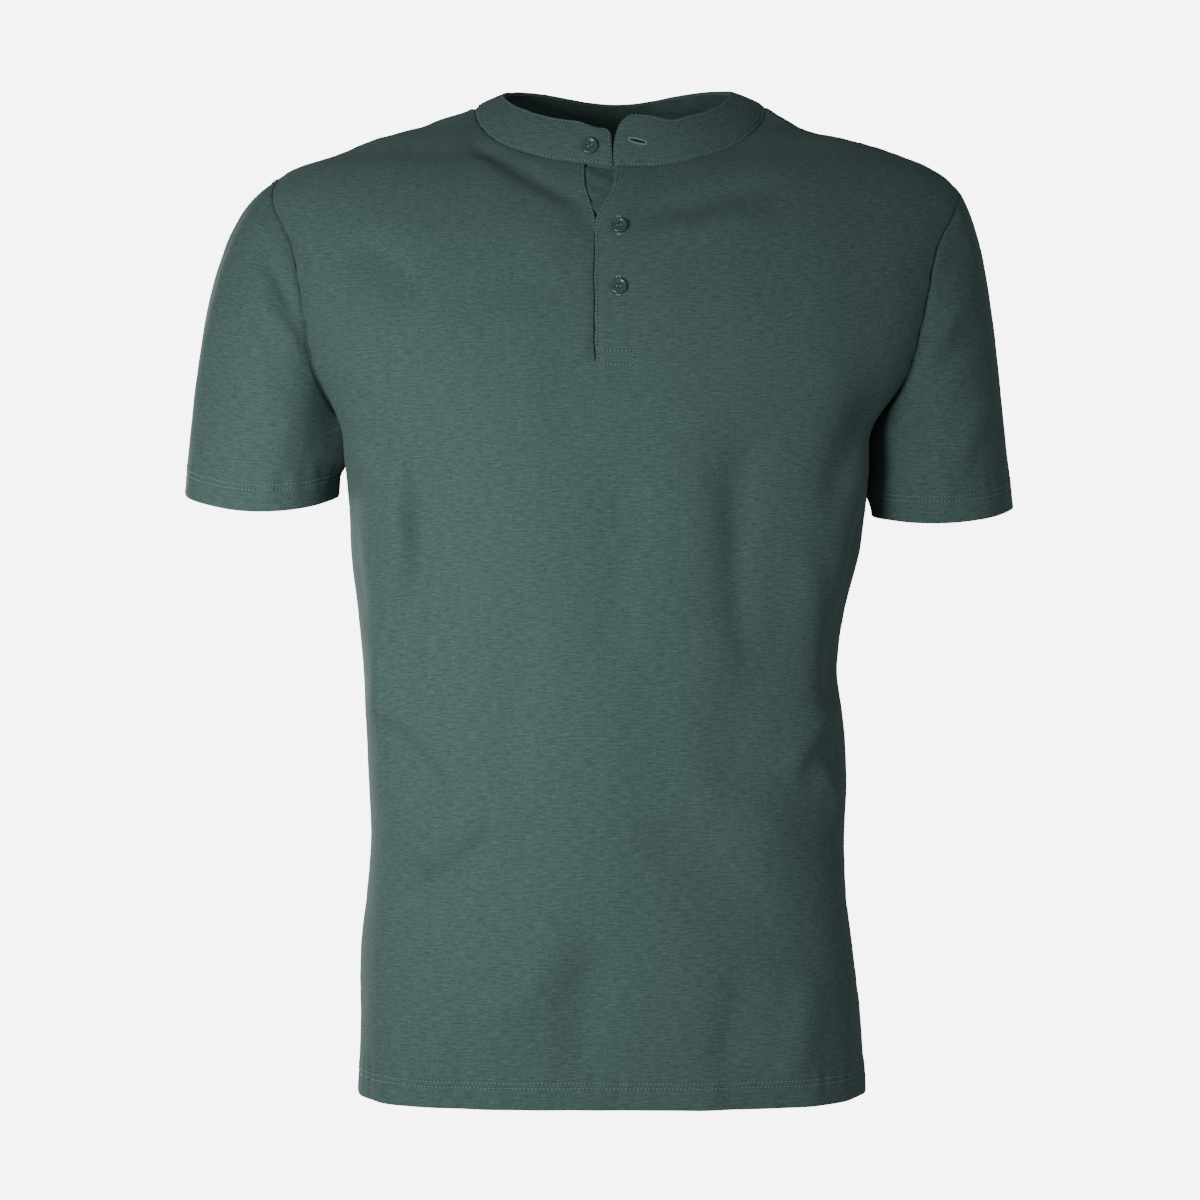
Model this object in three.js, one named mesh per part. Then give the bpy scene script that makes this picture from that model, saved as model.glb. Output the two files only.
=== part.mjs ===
// A short-sleeved henley shirt in smooth interlock knit, filled out as if worn, with nobody in it.
// Millimetres, +Z up, -Y is the wearer's front and +X the wearer's left, on the right of a front view.
// The origin is level with the tops of the shoulder seams, midway between them, where the shirt hangs.
// The body is a loft through level sections. Front and back are cut from it along the seams, the sleeves
// run on from the armholes, and each piece is a thin wall with its own thickness.
import * as THREE from "three";

// Cloth and seams
const CLOTH = 1.2; // one layer of interlock knit
const HEM_CLOTH = 2.2; // the turned-up hem, two layers
const BAND_CLOTH = 2.2; // the neckband, two layers
const SEAM_GAP = 0.4; // between neighbouring pieces
const HEM_DEPTH = 20;
const HEM_STEP = 1; // stretch over which the second layer ends

// Body, from the hem up: level, sideways shift, half width, line of greatest width, depth before and behind
// that line, and squareness (2 is an ellipse, more is squarer)
const BODY = table(
  ["z", "shift", "half", "mid", "front", "back", "square"],
  [
    [-702, 1, 180, -2, 106, 102, 3],
    [-650, 0, 178.2, -2, 106.5, 101, 2.85],
    [-600, -2.5, 176, -2, 108, 97, 2.6],
    [-560, -3, 172, -2, 109, 93, 2.5],
    [-520, -2.5, 170.5, -2, 110, 89, 2.45],
    [-480, -2.7, 172.2, -2, 111, 86, 2.45],
    [-440, -4.5, 172, -2, 113, 86, 2.45],
    [-400, -7.6, 170.3, -2, 115, 88, 2.45],
    [-360, -7, 174.8, -2, 118, 93, 2.45],
    [-320, -4.5, 182, -2, 121, 99, 2.45],
    [-290, -3, 184.5, -2, 122, 103, 2.5],
    [-270, -3, 187, -2, 123, 105, 2.55],
    [-250, -4, 190.5, -2, 123, 107, 2.6],
    [-230, -3.5, 195, -2, 123, 108, 2.65],
    [-215, -2, 202, -2, 123, 109, 2.7],
    [-200, 0, 210, -2, 122, 109, 2.72],
    [-185, 1, 218, -2, 121, 109, 2.78],
    [-150, 2, 230, -2, 116, 109, 2.8],
    [-100, 2, 244, -2, 101, 105, 2.6],
    [-75, 1, 253, -2, 88, 99, 2.4],
    [-60, 0, 251, -2, 78, 93, 2.3],
    [-45, 0, 235, -2, 65, 85, 2.25],
    [-34, 5, 206, -2, 51, 78, 2.2],
    [-23, 3, 178, -2, 38, 69, 2.2],
    [-12.6, 1, 138, -2, 24, 55, 2.2],
    [-5.4, 3, 123, -2, 15, 36, 2.2],
    [0, 5.5, 111, -2, 9, 22, 2.2],
    [4, 7, 102, -2, 5, 12, 2.2],
    [8, 7, 91, -2, 3, 7, 2.2],
  ],
);

// Largest folds of the body: from one end to the other in the front view, half width and depth (below zero
// is a trough)
const FRONT_FOLDS = table(
  ["x0", "z0", "x1", "z1", "spread", "rise"],
  [
    [-100, -42, -18, -92, 15, -4.5],
    [-150, -250, -158, -420, 22, 3],
    [-112, -230, -122, -430, 20, -2.5],
    [96, -250, 88, -470, 24, -3],
    [150, -200, 128, -420, 22, 3],
    [-150, -600, -60, -530, 20, -3.5],
    [40, -520, 128, -610, 26, -3.5],
    [20, -86, 110, -62, 16, -2.5],
  ],
);
const BACK_FOLDS = table(
  ["x0", "z0", "x1", "z1", "spread", "rise"],
  [
    [-120, -240, -70, -430, 24, -3.5],
    [118, -240, 74, -440, 24, -3.5],
    [-90, -470, 80, -455, 22, -3],
    [-60, -60, -150, -150, 22, 2.5],
    [60, -60, 150, -150, 22, 2.5],
  ],
);

// Seams on the body
const PIT_Z = -222; // lowest point of the armhole
const CAP_SPREAD = 0.25; // and how far it spreads to the front and back
const PIT_SPLAY = 0.36; // how far the sleeve's underside leans out for each unit down
const TIP_Z = { "-1": -50, 1: -61 }; // where the shoulder seam meets the armhole, on each side
const SHOULDER_ANGLE = radians(80); // the shoulder seam lies a little ahead of the ridge
const PIT_DENT = { depth: 0.05, z: -226, rise: 34, spread: radians(16) }; // the arm presses the side in
// Angle of the armhole seam from the front or back middle, from the pit (0) to the tip (1)
const ARMHOLE = table(
  ["w", "front", "back"],
  [
    [0, 90, 90],
    [0.145, 83.5, 83.5],
    [0.225, 78, 78.5],
    [0.29, 73.5, 74.5],
    [0.39, 69.5, 71],
    [0.476, 67.7, 69.3],
    [0.645, 66.5, 70],
    [0.78, 70.5, 78],
    [0.885, 75, 88],
    [1, 80, 100],
  ],
);

// Neckline seam: the level at which it crosses the shoulder seams, and how far it drops before and behind.
// The neckband stands on it, and its top edge is a smaller and higher ring.
const NECK = { z: 2.5, frontDrop: 50.5, backDrop: 16 };
const BAND_TOP = { x: 4, half: 82, mid: -4, front: 60, back: 54, z: 17, frontDrop: 34, backDrop: 3, backSwell: 3.5 };
const BAND_BOW = 1.6; // the band swells a little between its two edges
// Free ends of the neckband: where each edge lies across, how the left one leans back, how far each top
// corner is lifted, and over what stretch
const BAND_ENDS = { x: 1.4, gap: 1.2, round: 7, lean: 13, liftLeft: 5.5, liftRight: -4, reach: 34 };

// Front opening: a slit left of the middle, whose lips part above the second button
const SLIT = { x: -11, width: 0.8, bottom: -189, partFrom: -92, partTo: -57, partLeft: 7.6, partRight: 14.2 };
const PLACKET = { width: 25, tuck: 3, cloth: 1.8, turned: 2.2 };

// Sleeves: the cuff ring's centre and half sizes, how much higher its outer side, its back and both its front
// and back lie, how far the cap reaches out of the armhole, and how many degrees it drops
const SLEEVES = table(
  ["side", "x", "y", "z", "across", "deep", "slant", "rear", "dip", "cap", "drop"],
  [
    [-1, -250.5, 2, -276, 54, 61, 1.5, 14, -6, 182, 27],
    [1, 238.8, 2, -288, 50, 60, 3, 10, -4, 140, 60],
  ],
);

// Buttons: their shape, and where each lies in the front view
const BUTTON = { radius: 5.75, thick: 2.4, hole: 0.85, holes: 4, spread: 1.7, lift: 0.3 };
const BUTTONS = table(
  ["x", "z"],
  [
    [-15, -34],
    [5.2, -93.5],
    [4.8, -136.5],
  ],
);

// Mesh steps
const SIDE_ROWS = 15;
const ARM_ROWS = 11;
const SHOULDER_ROWS = 6;
const FRONT_COLUMNS = 13; // on each side of the slit
const BACK_COLUMNS = 24;
const SLEEVE_STEPS = 9;
const BAND_ROWS = [0, 0.3, 0.6, 0.8, 0.93, 1]; // up the neckband

const CLOTH_LOOK = { color: 0x3f5b58, roughness: 0.85, metalness: 0 };
const BUTTON_LOOK = { color: 0x2c3f3d, roughness: 0.3, metalness: 0 };

function radians(degrees) {
  return (degrees * Math.PI) / 180;
}

function table(names, rows) {
  return rows.map((row) => Object.fromEntries(names.map((name, i) => [name, row[i]])));
}

function clamp(value, low, high) {
  return Math.min(high, Math.max(low, value));
}

function mix(a, b, share) {
  return a + (b - a) * share;
}

function smoothstep(from, to, value) {
  const share = clamp((value - from) / (to - from), 0, 1);
  return share * share * (3 - 2 * share);
}

// The place where a rising function reaches a value
function solve(rising, value, low, high) {
  for (let i = 0; i < 50; i++) {
    const middle = (low + high) / 2;
    if (rising(middle) < value) low = middle;
    else high = middle;
  }
  return (low + high) / 2;
}

// A smooth curve through the rows of a table, each column as a function of the knots
function smoothRows(rows, knots) {
  const names = Object.keys(rows[0]);
  const slope = (name, i) => {
    const before = Math.max(i - 1, 0);
    const after = Math.min(i + 1, rows.length - 1);
    return (rows[after][name] - rows[before][name]) / (knots[after] - knots[before]);
  };
  return (at) => {
    let i = 0;
    while (i < rows.length - 2 && at > knots[i + 1]) i++;
    const span = knots[i + 1] - knots[i];
    const s = clamp((at - knots[i]) / span, 0, 1);
    const start = 1 - smoothstep(0, 1, s);
    const leave = s * (1 - s) ** 2 * span;
    const arrive = -(1 - s) * s * s * span;
    const found = {};
    for (const name of names) {
      const held = rows[i][name] * start + rows[i + 1][name] * (1 - start);
      found[name] = held + slope(name, i) * leave + slope(name, i + 1) * arrive;
    }
    return found;
  };
}

// Knots of the body: how far the cloth runs from section to section
const bodyKnots = [0];
for (let i = 1; i < BODY.length; i++) {
  const here = BODY[i];
  const below = BODY[i - 1];
  const inward = Math.max(Math.abs(here.half - below.half), Math.abs(here.front - below.front));
  bodyKnots.push(bodyKnots[i - 1] + Math.hypot(here.z - below.z, inward));
}
const bodyEnd = bodyKnots.at(-1);
const section = smoothRows(BODY, bodyKnots);
const armholeAngles = smoothRows(
  ARMHOLE,
  ARMHOLE.map((row) => row.w),
);

function runAt(z) {
  return solve((run) => section(run).z, z, 0, bodyEnd);
}

// Sum of the folds at a place in the front view
function foldRise(folds, x, z) {
  let rise = 0;
  for (const fold of folds) {
    const along = new THREE.Vector2(fold.x1 - fold.x0, fold.z1 - fold.z0);
    const from = new THREE.Vector2(x - fold.x0, z - fold.z0);
    const share = clamp(from.dot(along) / along.lengthSq(), 0, 1);
    const off = from.addScaledVector(along, -share).length();
    rise += fold.rise * Math.exp(-((off / fold.spread) ** 2));
  }
  return rise;
}

// A point of the body's outer face. The angle is 0 at the front middle and half a turn at the back middle.
function bodyPoint(angle, run) {
  const s = section(run);
  const side = Math.sin(angle);
  const ahead = Math.cos(angle);
  const offSide = (Math.asin(Math.abs(side)) - Math.PI / 2) / PIT_DENT.spread;
  const offPit = (s.z - PIT_DENT.z) / PIT_DENT.rise;
  const dent = PIT_DENT.depth * Math.exp(-(offSide ** 2) - offPit ** 2);
  const power = 2 / s.square;
  const x = s.half * Math.sign(side) * Math.abs(side) ** power * (1 - dent);
  const y = (ahead > 0 ? -s.front : s.back) * Math.abs(ahead) ** power;
  const rise = foldRise(ahead > 0 ? FRONT_FOLDS : BACK_FOLDS, x + s.shift, s.z) * smoothstep(0, 0.35, Math.abs(ahead));
  const reach = Math.hypot(x, y) || 1;
  return new THREE.Vector3(x * (1 + rise / reach) + s.shift, y * (1 + rise / reach) + s.mid, s.z);
}

// Angle whose point lies at x, on the front
function frontAngle(x, run) {
  const s = section(run);
  const share = clamp((x - s.shift) / s.half, -1, 1);
  return Math.sign(share) * Math.asin(Math.abs(share) ** (s.square / 2));
}

// Normals of a grid's surface, outwards where outward is 1
function gridNormals(points, outward) {
  const rows = points.length;
  const columns = points[0].length;
  return points.map((row, j) =>
    row.map((_, i) => {
      const across = points[j][Math.min(i + 1, columns - 1)].clone().sub(points[j][Math.max(i - 1, 0)]);
      const along = points[Math.min(j + 1, rows - 1)][i].clone().sub(points[Math.max(j - 1, 0)][i]);
      return across.cross(along).normalize().multiplyScalar(outward);
    }),
  );
}

// A cell is split along its other diagonal where that is shorter than this share of the usual one
const SLANT = 0.8;

// A closed wall from a grid of outer points and the inner point behind each. Cells may be left out, and a
// ring's last column joins its first.
function wall(outer, inner, { ring = false, leaveOut = () => false } = {}) {
  const rows = outer.length;
  const columns = outer[0].length;
  const cellColumns = ring ? columns : columns - 1;
  const positions = [...outer.flat(), ...inner.flat()].flatMap((p) => [p.x, p.y, p.z]);
  const behind = rows * columns;
  const at = (j, i) => j * columns + (i % columns);
  const kept = (j, i) => {
    const inside = ring ? (i + columns) % columns : i;
    return j >= 0 && j < rows - 1 && inside >= 0 && inside < cellColumns && !leaveOut(j, inside);
  };
  const faces = [];
  const quad = (a, b, c, d) => faces.push(a, b, c, a, c, d);
  const edge = (a, b) => quad(b, a, a + behind, b + behind);
  const apart = (a, b) => Math.hypot(...[0, 1, 2].map((k) => positions[3 * a + k] - positions[3 * b + k]));
  for (let j = 0; j < rows - 1; j++) {
    for (let i = 0; i < cellColumns; i++) {
      if (!kept(j, i)) continue;
      const corners = [at(j, i), at(j, i + 1), at(j + 1, i + 1), at(j + 1, i)];
      const slanted = apart(corners[1], corners[3]) < SLANT * apart(corners[0], corners[2]);
      const [a, b, c, d] = slanted ? [...corners.slice(1), corners[0]] : corners;
      quad(a, b, c, d);
      quad(a + behind, d + behind, c + behind, b + behind);
      if (!kept(j - 1, i)) edge(corners[0], corners[1]);
      if (!kept(j, i + 1)) edge(corners[1], corners[2]);
      if (!kept(j + 1, i)) edge(corners[2], corners[3]);
      if (!kept(j, i - 1)) edge(corners[3], corners[0]);
    }
  }
  return dropUnused(positions, faces);
}

function dropUnused(positions, faces) {
  const place = new Map();
  const kept = [];
  const index = faces.map((vertex) => {
    if (!place.has(vertex)) {
      place.set(vertex, place.size);
      kept.push(...positions.slice(3 * vertex, 3 * vertex + 3));
    }
    return place.get(vertex);
  });
  const geometry = new THREE.BufferGeometry();
  geometry.setAttribute("position", new THREE.Float32BufferAttribute(kept, 3));
  geometry.setIndex(index);
  return geometry;
}

function offsetGrid(points, normals, distance) {
  return points.map((row, j) => row.map((p, i) => p.clone().addScaledVector(normals[j][i], -distance(j, i))));
}

// Where a panel's rows lie: steps up the side seam, the armhole and the shoulder seam
const hemRun = HEM_DEPTH;
const pitRun = runAt(PIT_Z);
const tipRun = { "-1": runAt(TIP_Z[-1]), 1: runAt(TIP_Z[1]) };

// Rows crowd towards the pit and the tip, where the armhole turns
function armholeRun(side, w) {
  return mix(pitRun, tipRun[side], smoothstep(0, 1, w));
}

// Rows of a panel edge: the run and the seam angle at each, up one side of the body
function edgeRows(side, branch, topRun) {
  const seam = Math.PI / 2;
  const shoulder = branch === "front" ? SHOULDER_ANGLE : Math.PI - SHOULDER_ANGLE;
  const rows = [
    { run: 0, angle: seam },
    { run: hemRun - HEM_STEP, angle: seam },
  ];
  for (let j = 0; j <= SIDE_ROWS; j++) rows.push({ run: mix(hemRun, pitRun, j / SIDE_ROWS), angle: seam });
  for (let j = 1; j <= ARM_ROWS; j++) {
    const w = j / ARM_ROWS;
    rows.push({ run: armholeRun(side, w), angle: radians(armholeAngles(w)[branch]) });
  }
  for (let j = 1; j <= SHOULDER_ROWS; j++) {
    rows.push({ run: mix(tipRun[side], topRun, j / SHOULDER_ROWS), angle: shoulder });
  }
  return rows;
}

// Ends of the neckline seam, on the shoulder seams
const neckSides = [-1, 1].map((side) => bodyPoint(side * SHOULDER_ANGLE, runAt(NECK.z)).x);
const neckMiddle = (neckSides[0] + neckSides[1]) / 2;
const neckHalf = (neckSides[1] - neckSides[0]) / 2;

// How far up the body the neckline seam lies at an angle
function neckRun(angleAt, drop) {
  const below = (run) => {
    const p = bodyPoint(angleAt(run), run);
    const across = (p.x - neckMiddle) / neckHalf;
    const down = Math.max(0, NECK.z - p.z) / drop;
    return -(across * across + down * down);
  };
  return solve(below, -1, runAt(NECK.z - drop - 1), bodyEnd);
}

// Shares at which the front's columns lie: on a lip of the slit, and then evenly to the side
const LIP = 0.001;
const halfColumns = Array.from({ length: FRONT_COLUMNS + 1 }, (_, i) => mix(LIP, 1, i / FRONT_COLUMNS));
const FIRST_COLUMN = halfColumns[1];
const frontColumns = [...halfColumns.map((share) => -share).reverse(), ...halfColumns];

// One panel's grid. A column is a share of the way from the middle (0) to each side (-1 and 1), and its
// angle is placed between the inner and the edge angle.
function panelGrid(columns, branch, angleOf) {
  const drop = branch === "front" ? NECK.frontDrop : NECK.backDrop;
  const shoulder = branch === "front" ? SHOULDER_ANGLE : Math.PI - SHOULDER_ANGLE;
  const topRun = (column) => neckRun((run) => angleOf(column, run, shoulder), drop);
  const edges = { "-1": edgeRows(-1, branch, topRun(-1)), 1: edgeRows(1, branch, topRun(1)) };
  const tops = columns.map(topRun);
  return edges[1].map((_, j) =>
    columns.map((column, i) => {
      const share = smoothstep(-1, 1, column);
      const edgeRun = mix(edges[-1][j].run, edges[1][j].run, share);
      const edgeTop = mix(edges[-1].at(-1).run, edges[1].at(-1).run, share);
      const run = (edgeRun * tops[i]) / edgeTop;
      return { run, angle: angleOf(column, run, edges[column < 0 ? -1 : 1][j].angle) };
    }),
  );
}

// The lips of the slit, at a run up the body
function slitLip(side, run) {
  const parted = 1 - smoothstep(SLIT.partFrom, SLIT.partTo, section(run).z);
  const open = (1 - parted) * (side < 0 ? -SLIT.partLeft : SLIT.partRight);
  return SLIT.x + (side * SLIT.width) / 2 + open;
}

// Both panels stop half a gap short of the seam line between them
function shortOfSeam(angle, run) {
  const step = 0.001;
  const speed = bodyPoint(angle - step, run).distanceTo(bodyPoint(angle, run)) / step;
  return angle - SEAM_GAP / 2 / speed;
}

// The first column beside the slit's right edge follows the end of the part that is turned in
function frontColumnAngle(column, run, edgeAngle) {
  const side = column < 0 ? -1 : 1;
  const outer = side * shortOfSeam(edgeAngle, run);
  if (Math.abs(column) === LIP) return frontAngle(slitLip(side, run), run);
  const innerX = side < 0 ? slitLip(side, run) : SLIT.x + PLACKET.width;
  const innerShare = side < 0 ? LIP : FIRST_COLUMN;
  return mix(frontAngle(innerX, run), outer, (Math.abs(column) - innerShare) / (1 - innerShare));
}

function backColumnAngle(column, run, edgeAngle) {
  return Math.PI - column * shortOfSeam(edgeAngle, run);
}

// Normal of the body itself, so that pieces that meet on it have walls side by side
function bodyNormal(angle, run) {
  const step = 0.01;
  const reach = 1.5;
  const across = bodyPoint(angle + step, run).sub(bodyPoint(angle - step, run));
  const low = clamp(run - reach, 0, bodyEnd);
  const high = clamp(run + reach, 0, bodyEnd);
  const along = bodyPoint(angle, high).sub(bodyPoint(angle, low));
  return across.cross(along).normalize();
}

function makePanel(columns, branch, angleOf) {
  const places = panelGrid(columns, branch, angleOf);
  return {
    places,
    outer: places.map((row) => row.map(({ run, angle }) => bodyPoint(angle, run))),
    normals: places.map((row) => row.map(({ run, angle }) => bodyNormal(angle, run))),
  };
}

const backColumns = Array.from({ length: BACK_COLUMNS + 1 }, (_, i) => 1 - (2 * i) / BACK_COLUMNS);
const frontPanel = makePanel(frontColumns, "front", frontColumnAngle);
const backPanel = makePanel(backColumns, "back", backColumnAngle);
const leftLip = FRONT_COLUMNS; // columns of the two lips of the slit
const rightLip = FRONT_COLUMNS + 1;
const slitOffsets = frontPanel.outer.map((row) => Math.abs(row[rightLip].z - SLIT.bottom));
const slitRow = slitOffsets.indexOf(Math.min(...slitOffsets));

// The wall is doubled in the hem and where the slit's right edge is turned in
function panelCloth(turned) {
  return (j, i) => {
    if (j < 2) return HEM_CLOTH;
    return turned(j, i) ? PLACKET.turned : CLOTH;
  };
}

function isTurned(j, i) {
  return j >= slitRow && (i === rightLip || i === rightLip + 1);
}

function makeFront() {
  const { outer, normals } = frontPanel;
  const leaveOut = (j, i) => i === leftLip && j >= slitRow;
  return wall(outer, offsetGrid(outer, normals, panelCloth(isTurned)), { leaveOut });
}

function makeBack() {
  const { outer, normals } = backPanel;
  return wall(outer, offsetGrid(outer, normals, panelCloth(() => false)));
}

// The armhole seam, from the shoulder tip down the front to the pit and up the back
function armholeLoop(side) {
  const at = (branch, w) => {
    const angle = radians(armholeAngles(w)[branch]);
    const turned = branch === "front" ? angle : Math.PI - angle;
    return { branch, w, run: armholeRun(side, w), angle: side * turned };
  };
  const loop = [];
  for (let j = ARM_ROWS; j >= 0; j--) loop.push(at("front", j / ARM_ROWS));
  for (let j = 1; j < ARM_ROWS; j++) loop.push(at("back", j / ARM_ROWS));
  return loop.map((place) => ({
    ...place,
    point: bodyPoint(place.angle, place.run),
    normal: bodyNormal(place.angle, place.run),
  }));
}

function cuffPoint(sleeve, turn) {
  const out = Math.cos(turn);
  const ahead = Math.sin(turn);
  const z = sleeve.z + sleeve.slant * out - (sleeve.rear / 2) * ahead + sleeve.dip * ahead * ahead;
  return new THREE.Vector3(
    sleeve.x + sleeve.side * sleeve.across * out,
    sleeve.y - sleeve.deep * ahead,
    z,
  );
}

// How the sleeve leaves the armhole: outwards at the cap, nearly straight down at the pit, and spreading a
// little to the front and back
function sleeveLeave(sleeve, loop, k) {
  const here = loop[k];
  const before = loop[(k + loop.length - 1) % loop.length].point;
  const after = loop[(k + 1) % loop.length].point;
  const seam = after.clone().sub(before).normalize();
  const drop = radians(sleeve.drop);
  const cap = new THREE.Vector3(sleeve.side * Math.cos(drop), 0, -Math.sin(drop));
  const direction = new THREE.Vector3(sleeve.side * PIT_SPLAY, 0, -1).normalize();
  direction.lerp(cap, smoothstep(0, 1, here.w));
  direction.y += (CAP_SPREAD * (here.point.y - sleeve.y)) / sleeve.deep;
  direction.normalize();
  const folded = smoothstep(0, 0.5, direction.dot(here.normal));
  const own = direction.clone().cross(seam).multiplyScalar(-sleeve.side).normalize();
  const away = direction.clone().lerp(here.normal, folded * 0.6).normalize();
  return {
    direction,
    reach: mix(45, sleeve.cap, smoothstep(0.1, 1, here.w)),
    start: here.point.clone().addScaledVector(away, SEAM_GAP),
    normal: here.normal.clone().lerp(own, folded).normalize(),
  };
}

function hermite(from, leave, to, arrive, s) {
  const start = 1 - smoothstep(0, 1, s);
  return from
    .clone()
    .multiplyScalar(start)
    .addScaledVector(to, 1 - start)
    .addScaledVector(leave, s * (1 - s) ** 2)
    .addScaledVector(arrive, -(1 - s) * s * s);
}

// Angle round the cuff at which each point of the armhole ends, by its share of the seam
function sleeveTurns(loop) {
  const lengths = loop.map((place, k) => place.point.distanceTo(loop[(k + 1) % loop.length].point));
  const total = lengths.reduce((sum, length) => sum + length, 0);
  let walked = 0;
  return lengths.map((length) => {
    const turn = (2 * Math.PI * walked) / total;
    walked += length;
    return turn;
  });
}

// A sleeve's grid, a row for each step from the armhole to the cuff
function makeSleeve(sleeve) {
  const loop = armholeLoop(sleeve.side);
  const turns = sleeveTurns(loop);
  const leaves = loop.map((_, k) => sleeveLeave(sleeve, loop, k));
  const shares = Array.from({ length: SLEEVE_STEPS + 1 }, (_, j) => j / SLEEVE_STEPS);
  const rows = shares.map((share) =>
    leaves.map(({ start, direction, reach }, k) => {
      const to = cuffPoint(sleeve, turns[k]);
      const length = start.distanceTo(to);
      const leave = direction.clone().multiplyScalar(Math.min(reach, 1.6 * length));
      const arrive = new THREE.Vector3(sleeve.side * 0.1, 0, -1).multiplyScalar(length * 0.9);
      return hermite(start, leave, to, arrive, share);
    }),
  );
  const ringed = rows.map((row) => [row.at(-1), ...row, row[0]]);
  const own = gridNormals(ringed, sleeve.side).map((row) => row.slice(1, -1));
  const normals = own.map((row, j) =>
    row.map((normal, k) => leaves[k].normal.clone().lerp(normal, smoothstep(0, 0.3, shares[j])).normalize()),
  );
  const inner = offsetGrid(rows, normals, (j) => (j >= SLEEVE_STEPS - 1 ? HEM_CLOTH : CLOTH));
  if (sleeve.side > 0) return wall(rows, inner, { ring: true });
  return wall(mirrored(rows), mirrored(inner), { ring: true });
}

// Rows read the other way round, which turns a grid's faces over
function mirrored(rows) {
  return rows.map((row) => [...row].reverse());
}

// A place on the front half of the neckline seam, by how far it lies across
function neckFoot(x) {
  const across = (x - neckMiddle) / neckHalf;
  const z = NECK.z - NECK.frontDrop * Math.sqrt(1 - across * across);
  const run = runAt(z);
  return bodyPoint(frontAngle(x, run), run);
}

// Top edge of the neckband, by the angle round the neck from the front
function bandTop(turn) {
  const ahead = Math.cos(turn);
  const depth = ahead > 0 ? -BAND_TOP.front : BAND_TOP.back;
  const across = Math.sin(turn);
  let z = BAND_TOP.z;
  if (ahead > 0) z -= BAND_TOP.frontDrop * ahead;
  else z += BAND_TOP.backSwell * Math.sin(2 * turn) ** 2 - BAND_TOP.backDrop * ahead ** 6;
  return new THREE.Vector3(BAND_TOP.x + BAND_TOP.half * across, BAND_TOP.mid + depth * Math.abs(ahead), z);
}

// The band from one free end, round the neck, to the other: each column's foot and its angle round the neck
function bandColumns() {
  const top = frontPanel.outer.length - 1;
  const ends = { right: BAND_ENDS.x + BAND_ENDS.gap / 2, left: BAND_ENDS.x - BAND_ENDS.gap / 2 };
  const lipX = frontPanel.outer[top][leftLip].x;
  const feet = [
    neckFoot(ends.right),
    ...frontPanel.outer[top].slice(rightLip),
    ...backPanel.outer.at(-1),
    ...frontPanel.outer[top].slice(0, rightLip),
    neckFoot(mix(lipX, ends.left, 1 / 3)),
    neckFoot(mix(lipX, ends.left, 2 / 3)),
    neckFoot(ends.left),
  ];
  const firstBack = 1 + frontPanel.outer[top].length - rightLip;
  return feet.map((foot, i) => {
    const lean = Math.asin(clamp((foot.x - neckMiddle) / neckHalf, -1, 1));
    const behind = i >= firstBack && i < firstBack + backPanel.outer.at(-1).length;
    return { foot, turn: behind ? Math.PI - lean : lean };
  });
}

// How far a free end is drawn back from the gap, at a height up the band
function endShift(side, up, height) {
  if (side > 0) return BAND_ENDS.lean * up ** 3;
  const into = clamp((up * height - height + BAND_ENDS.round) / BAND_ENDS.round, 0, 1);
  return BAND_ENDS.round * (1 - Math.sqrt(1 - into * into));
}

function bandPoint({ foot, turn }, up) {
  const side = foot.x > BAND_ENDS.x ? 1 : -1;
  const height = foot.distanceTo(bandTop(turn));
  const nearEnd = Math.cos(turn) > 0 ? clamp(1 - Math.abs(foot.x - BAND_ENDS.x) / BAND_ENDS.reach, 0, 1) ** 2 : 0;
  const shift = side * nearEnd * endShift(side, up, height);
  const lift = nearEnd * (side > 0 ? BAND_ENDS.liftLeft : BAND_ENDS.liftRight) * up * up;
  const outward = new THREE.Vector3(Math.sin(turn), -Math.cos(turn), 0);
  const point = foot.clone().lerp(bandTop(turn), mix(SEAM_GAP / height, 1, up));
  return point.addScaledVector(outward, BAND_BOW * 4 * up * (1 - up)).add(new THREE.Vector3(shift, 0, lift));
}

function makeBand() {
  const columns = bandColumns();
  const rows = BAND_ROWS.map((up) => columns.map((column) => bandPoint(column, up)));
  return wall(rows, offsetGrid(rows, gridNormals(rows, 1), () => BAND_CLOTH));
}

// The button side of the placket, a folded strip behind the slit: its points are the front's own, moved in
function makePlacketUnder() {
  const { outer, normals } = frontPanel;
  const tuck = PLACKET.tuck / (outer[slitRow][leftLip].x - outer[slitRow][leftLip - 1].x);
  const columns = [
    { from: leftLip, to: leftLip - 1, share: tuck, behind: CLOTH },
    { from: leftLip, to: leftLip, share: 0, behind: CLOTH },
    { from: rightLip, to: rightLip, share: 0, behind: PLACKET.turned },
    { from: rightLip, to: rightLip + 1, share: 1, behind: PLACKET.turned },
  ];
  const between = (row, { from, to, share }) => row[from].clone().lerp(row[to], share);
  const moved = (extra) =>
    outer.slice(slitRow).map((row, j) =>
      columns.map((column) => {
        const normal = between(normals[slitRow + j], column);
        return between(row, column).addScaledVector(normal, -column.behind - SEAM_GAP - extra);
      }),
    );
  return wall(moved(0), moved(PLACKET.cloth));
}

// A four-hole button, its back on the plane z = 0
function buttonGeometry() {
  const shape = new THREE.Shape().absarc(0, 0, BUTTON.radius, 0, 2 * Math.PI);
  for (let i = 0; i < BUTTON.holes; i++) {
    const turn = ((i + 0.5) * 2 * Math.PI) / BUTTON.holes;
    const x = BUTTON.spread * Math.cos(turn);
    const y = BUTTON.spread * Math.sin(turn);
    shape.holes.push(new THREE.Path().absarc(x, y, BUTTON.hole, 0, 2 * Math.PI, true));
  }
  return new THREE.ExtrudeGeometry(shape, { depth: BUTTON.thick, bevelEnabled: false, curveSegments: 8 });
}

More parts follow.
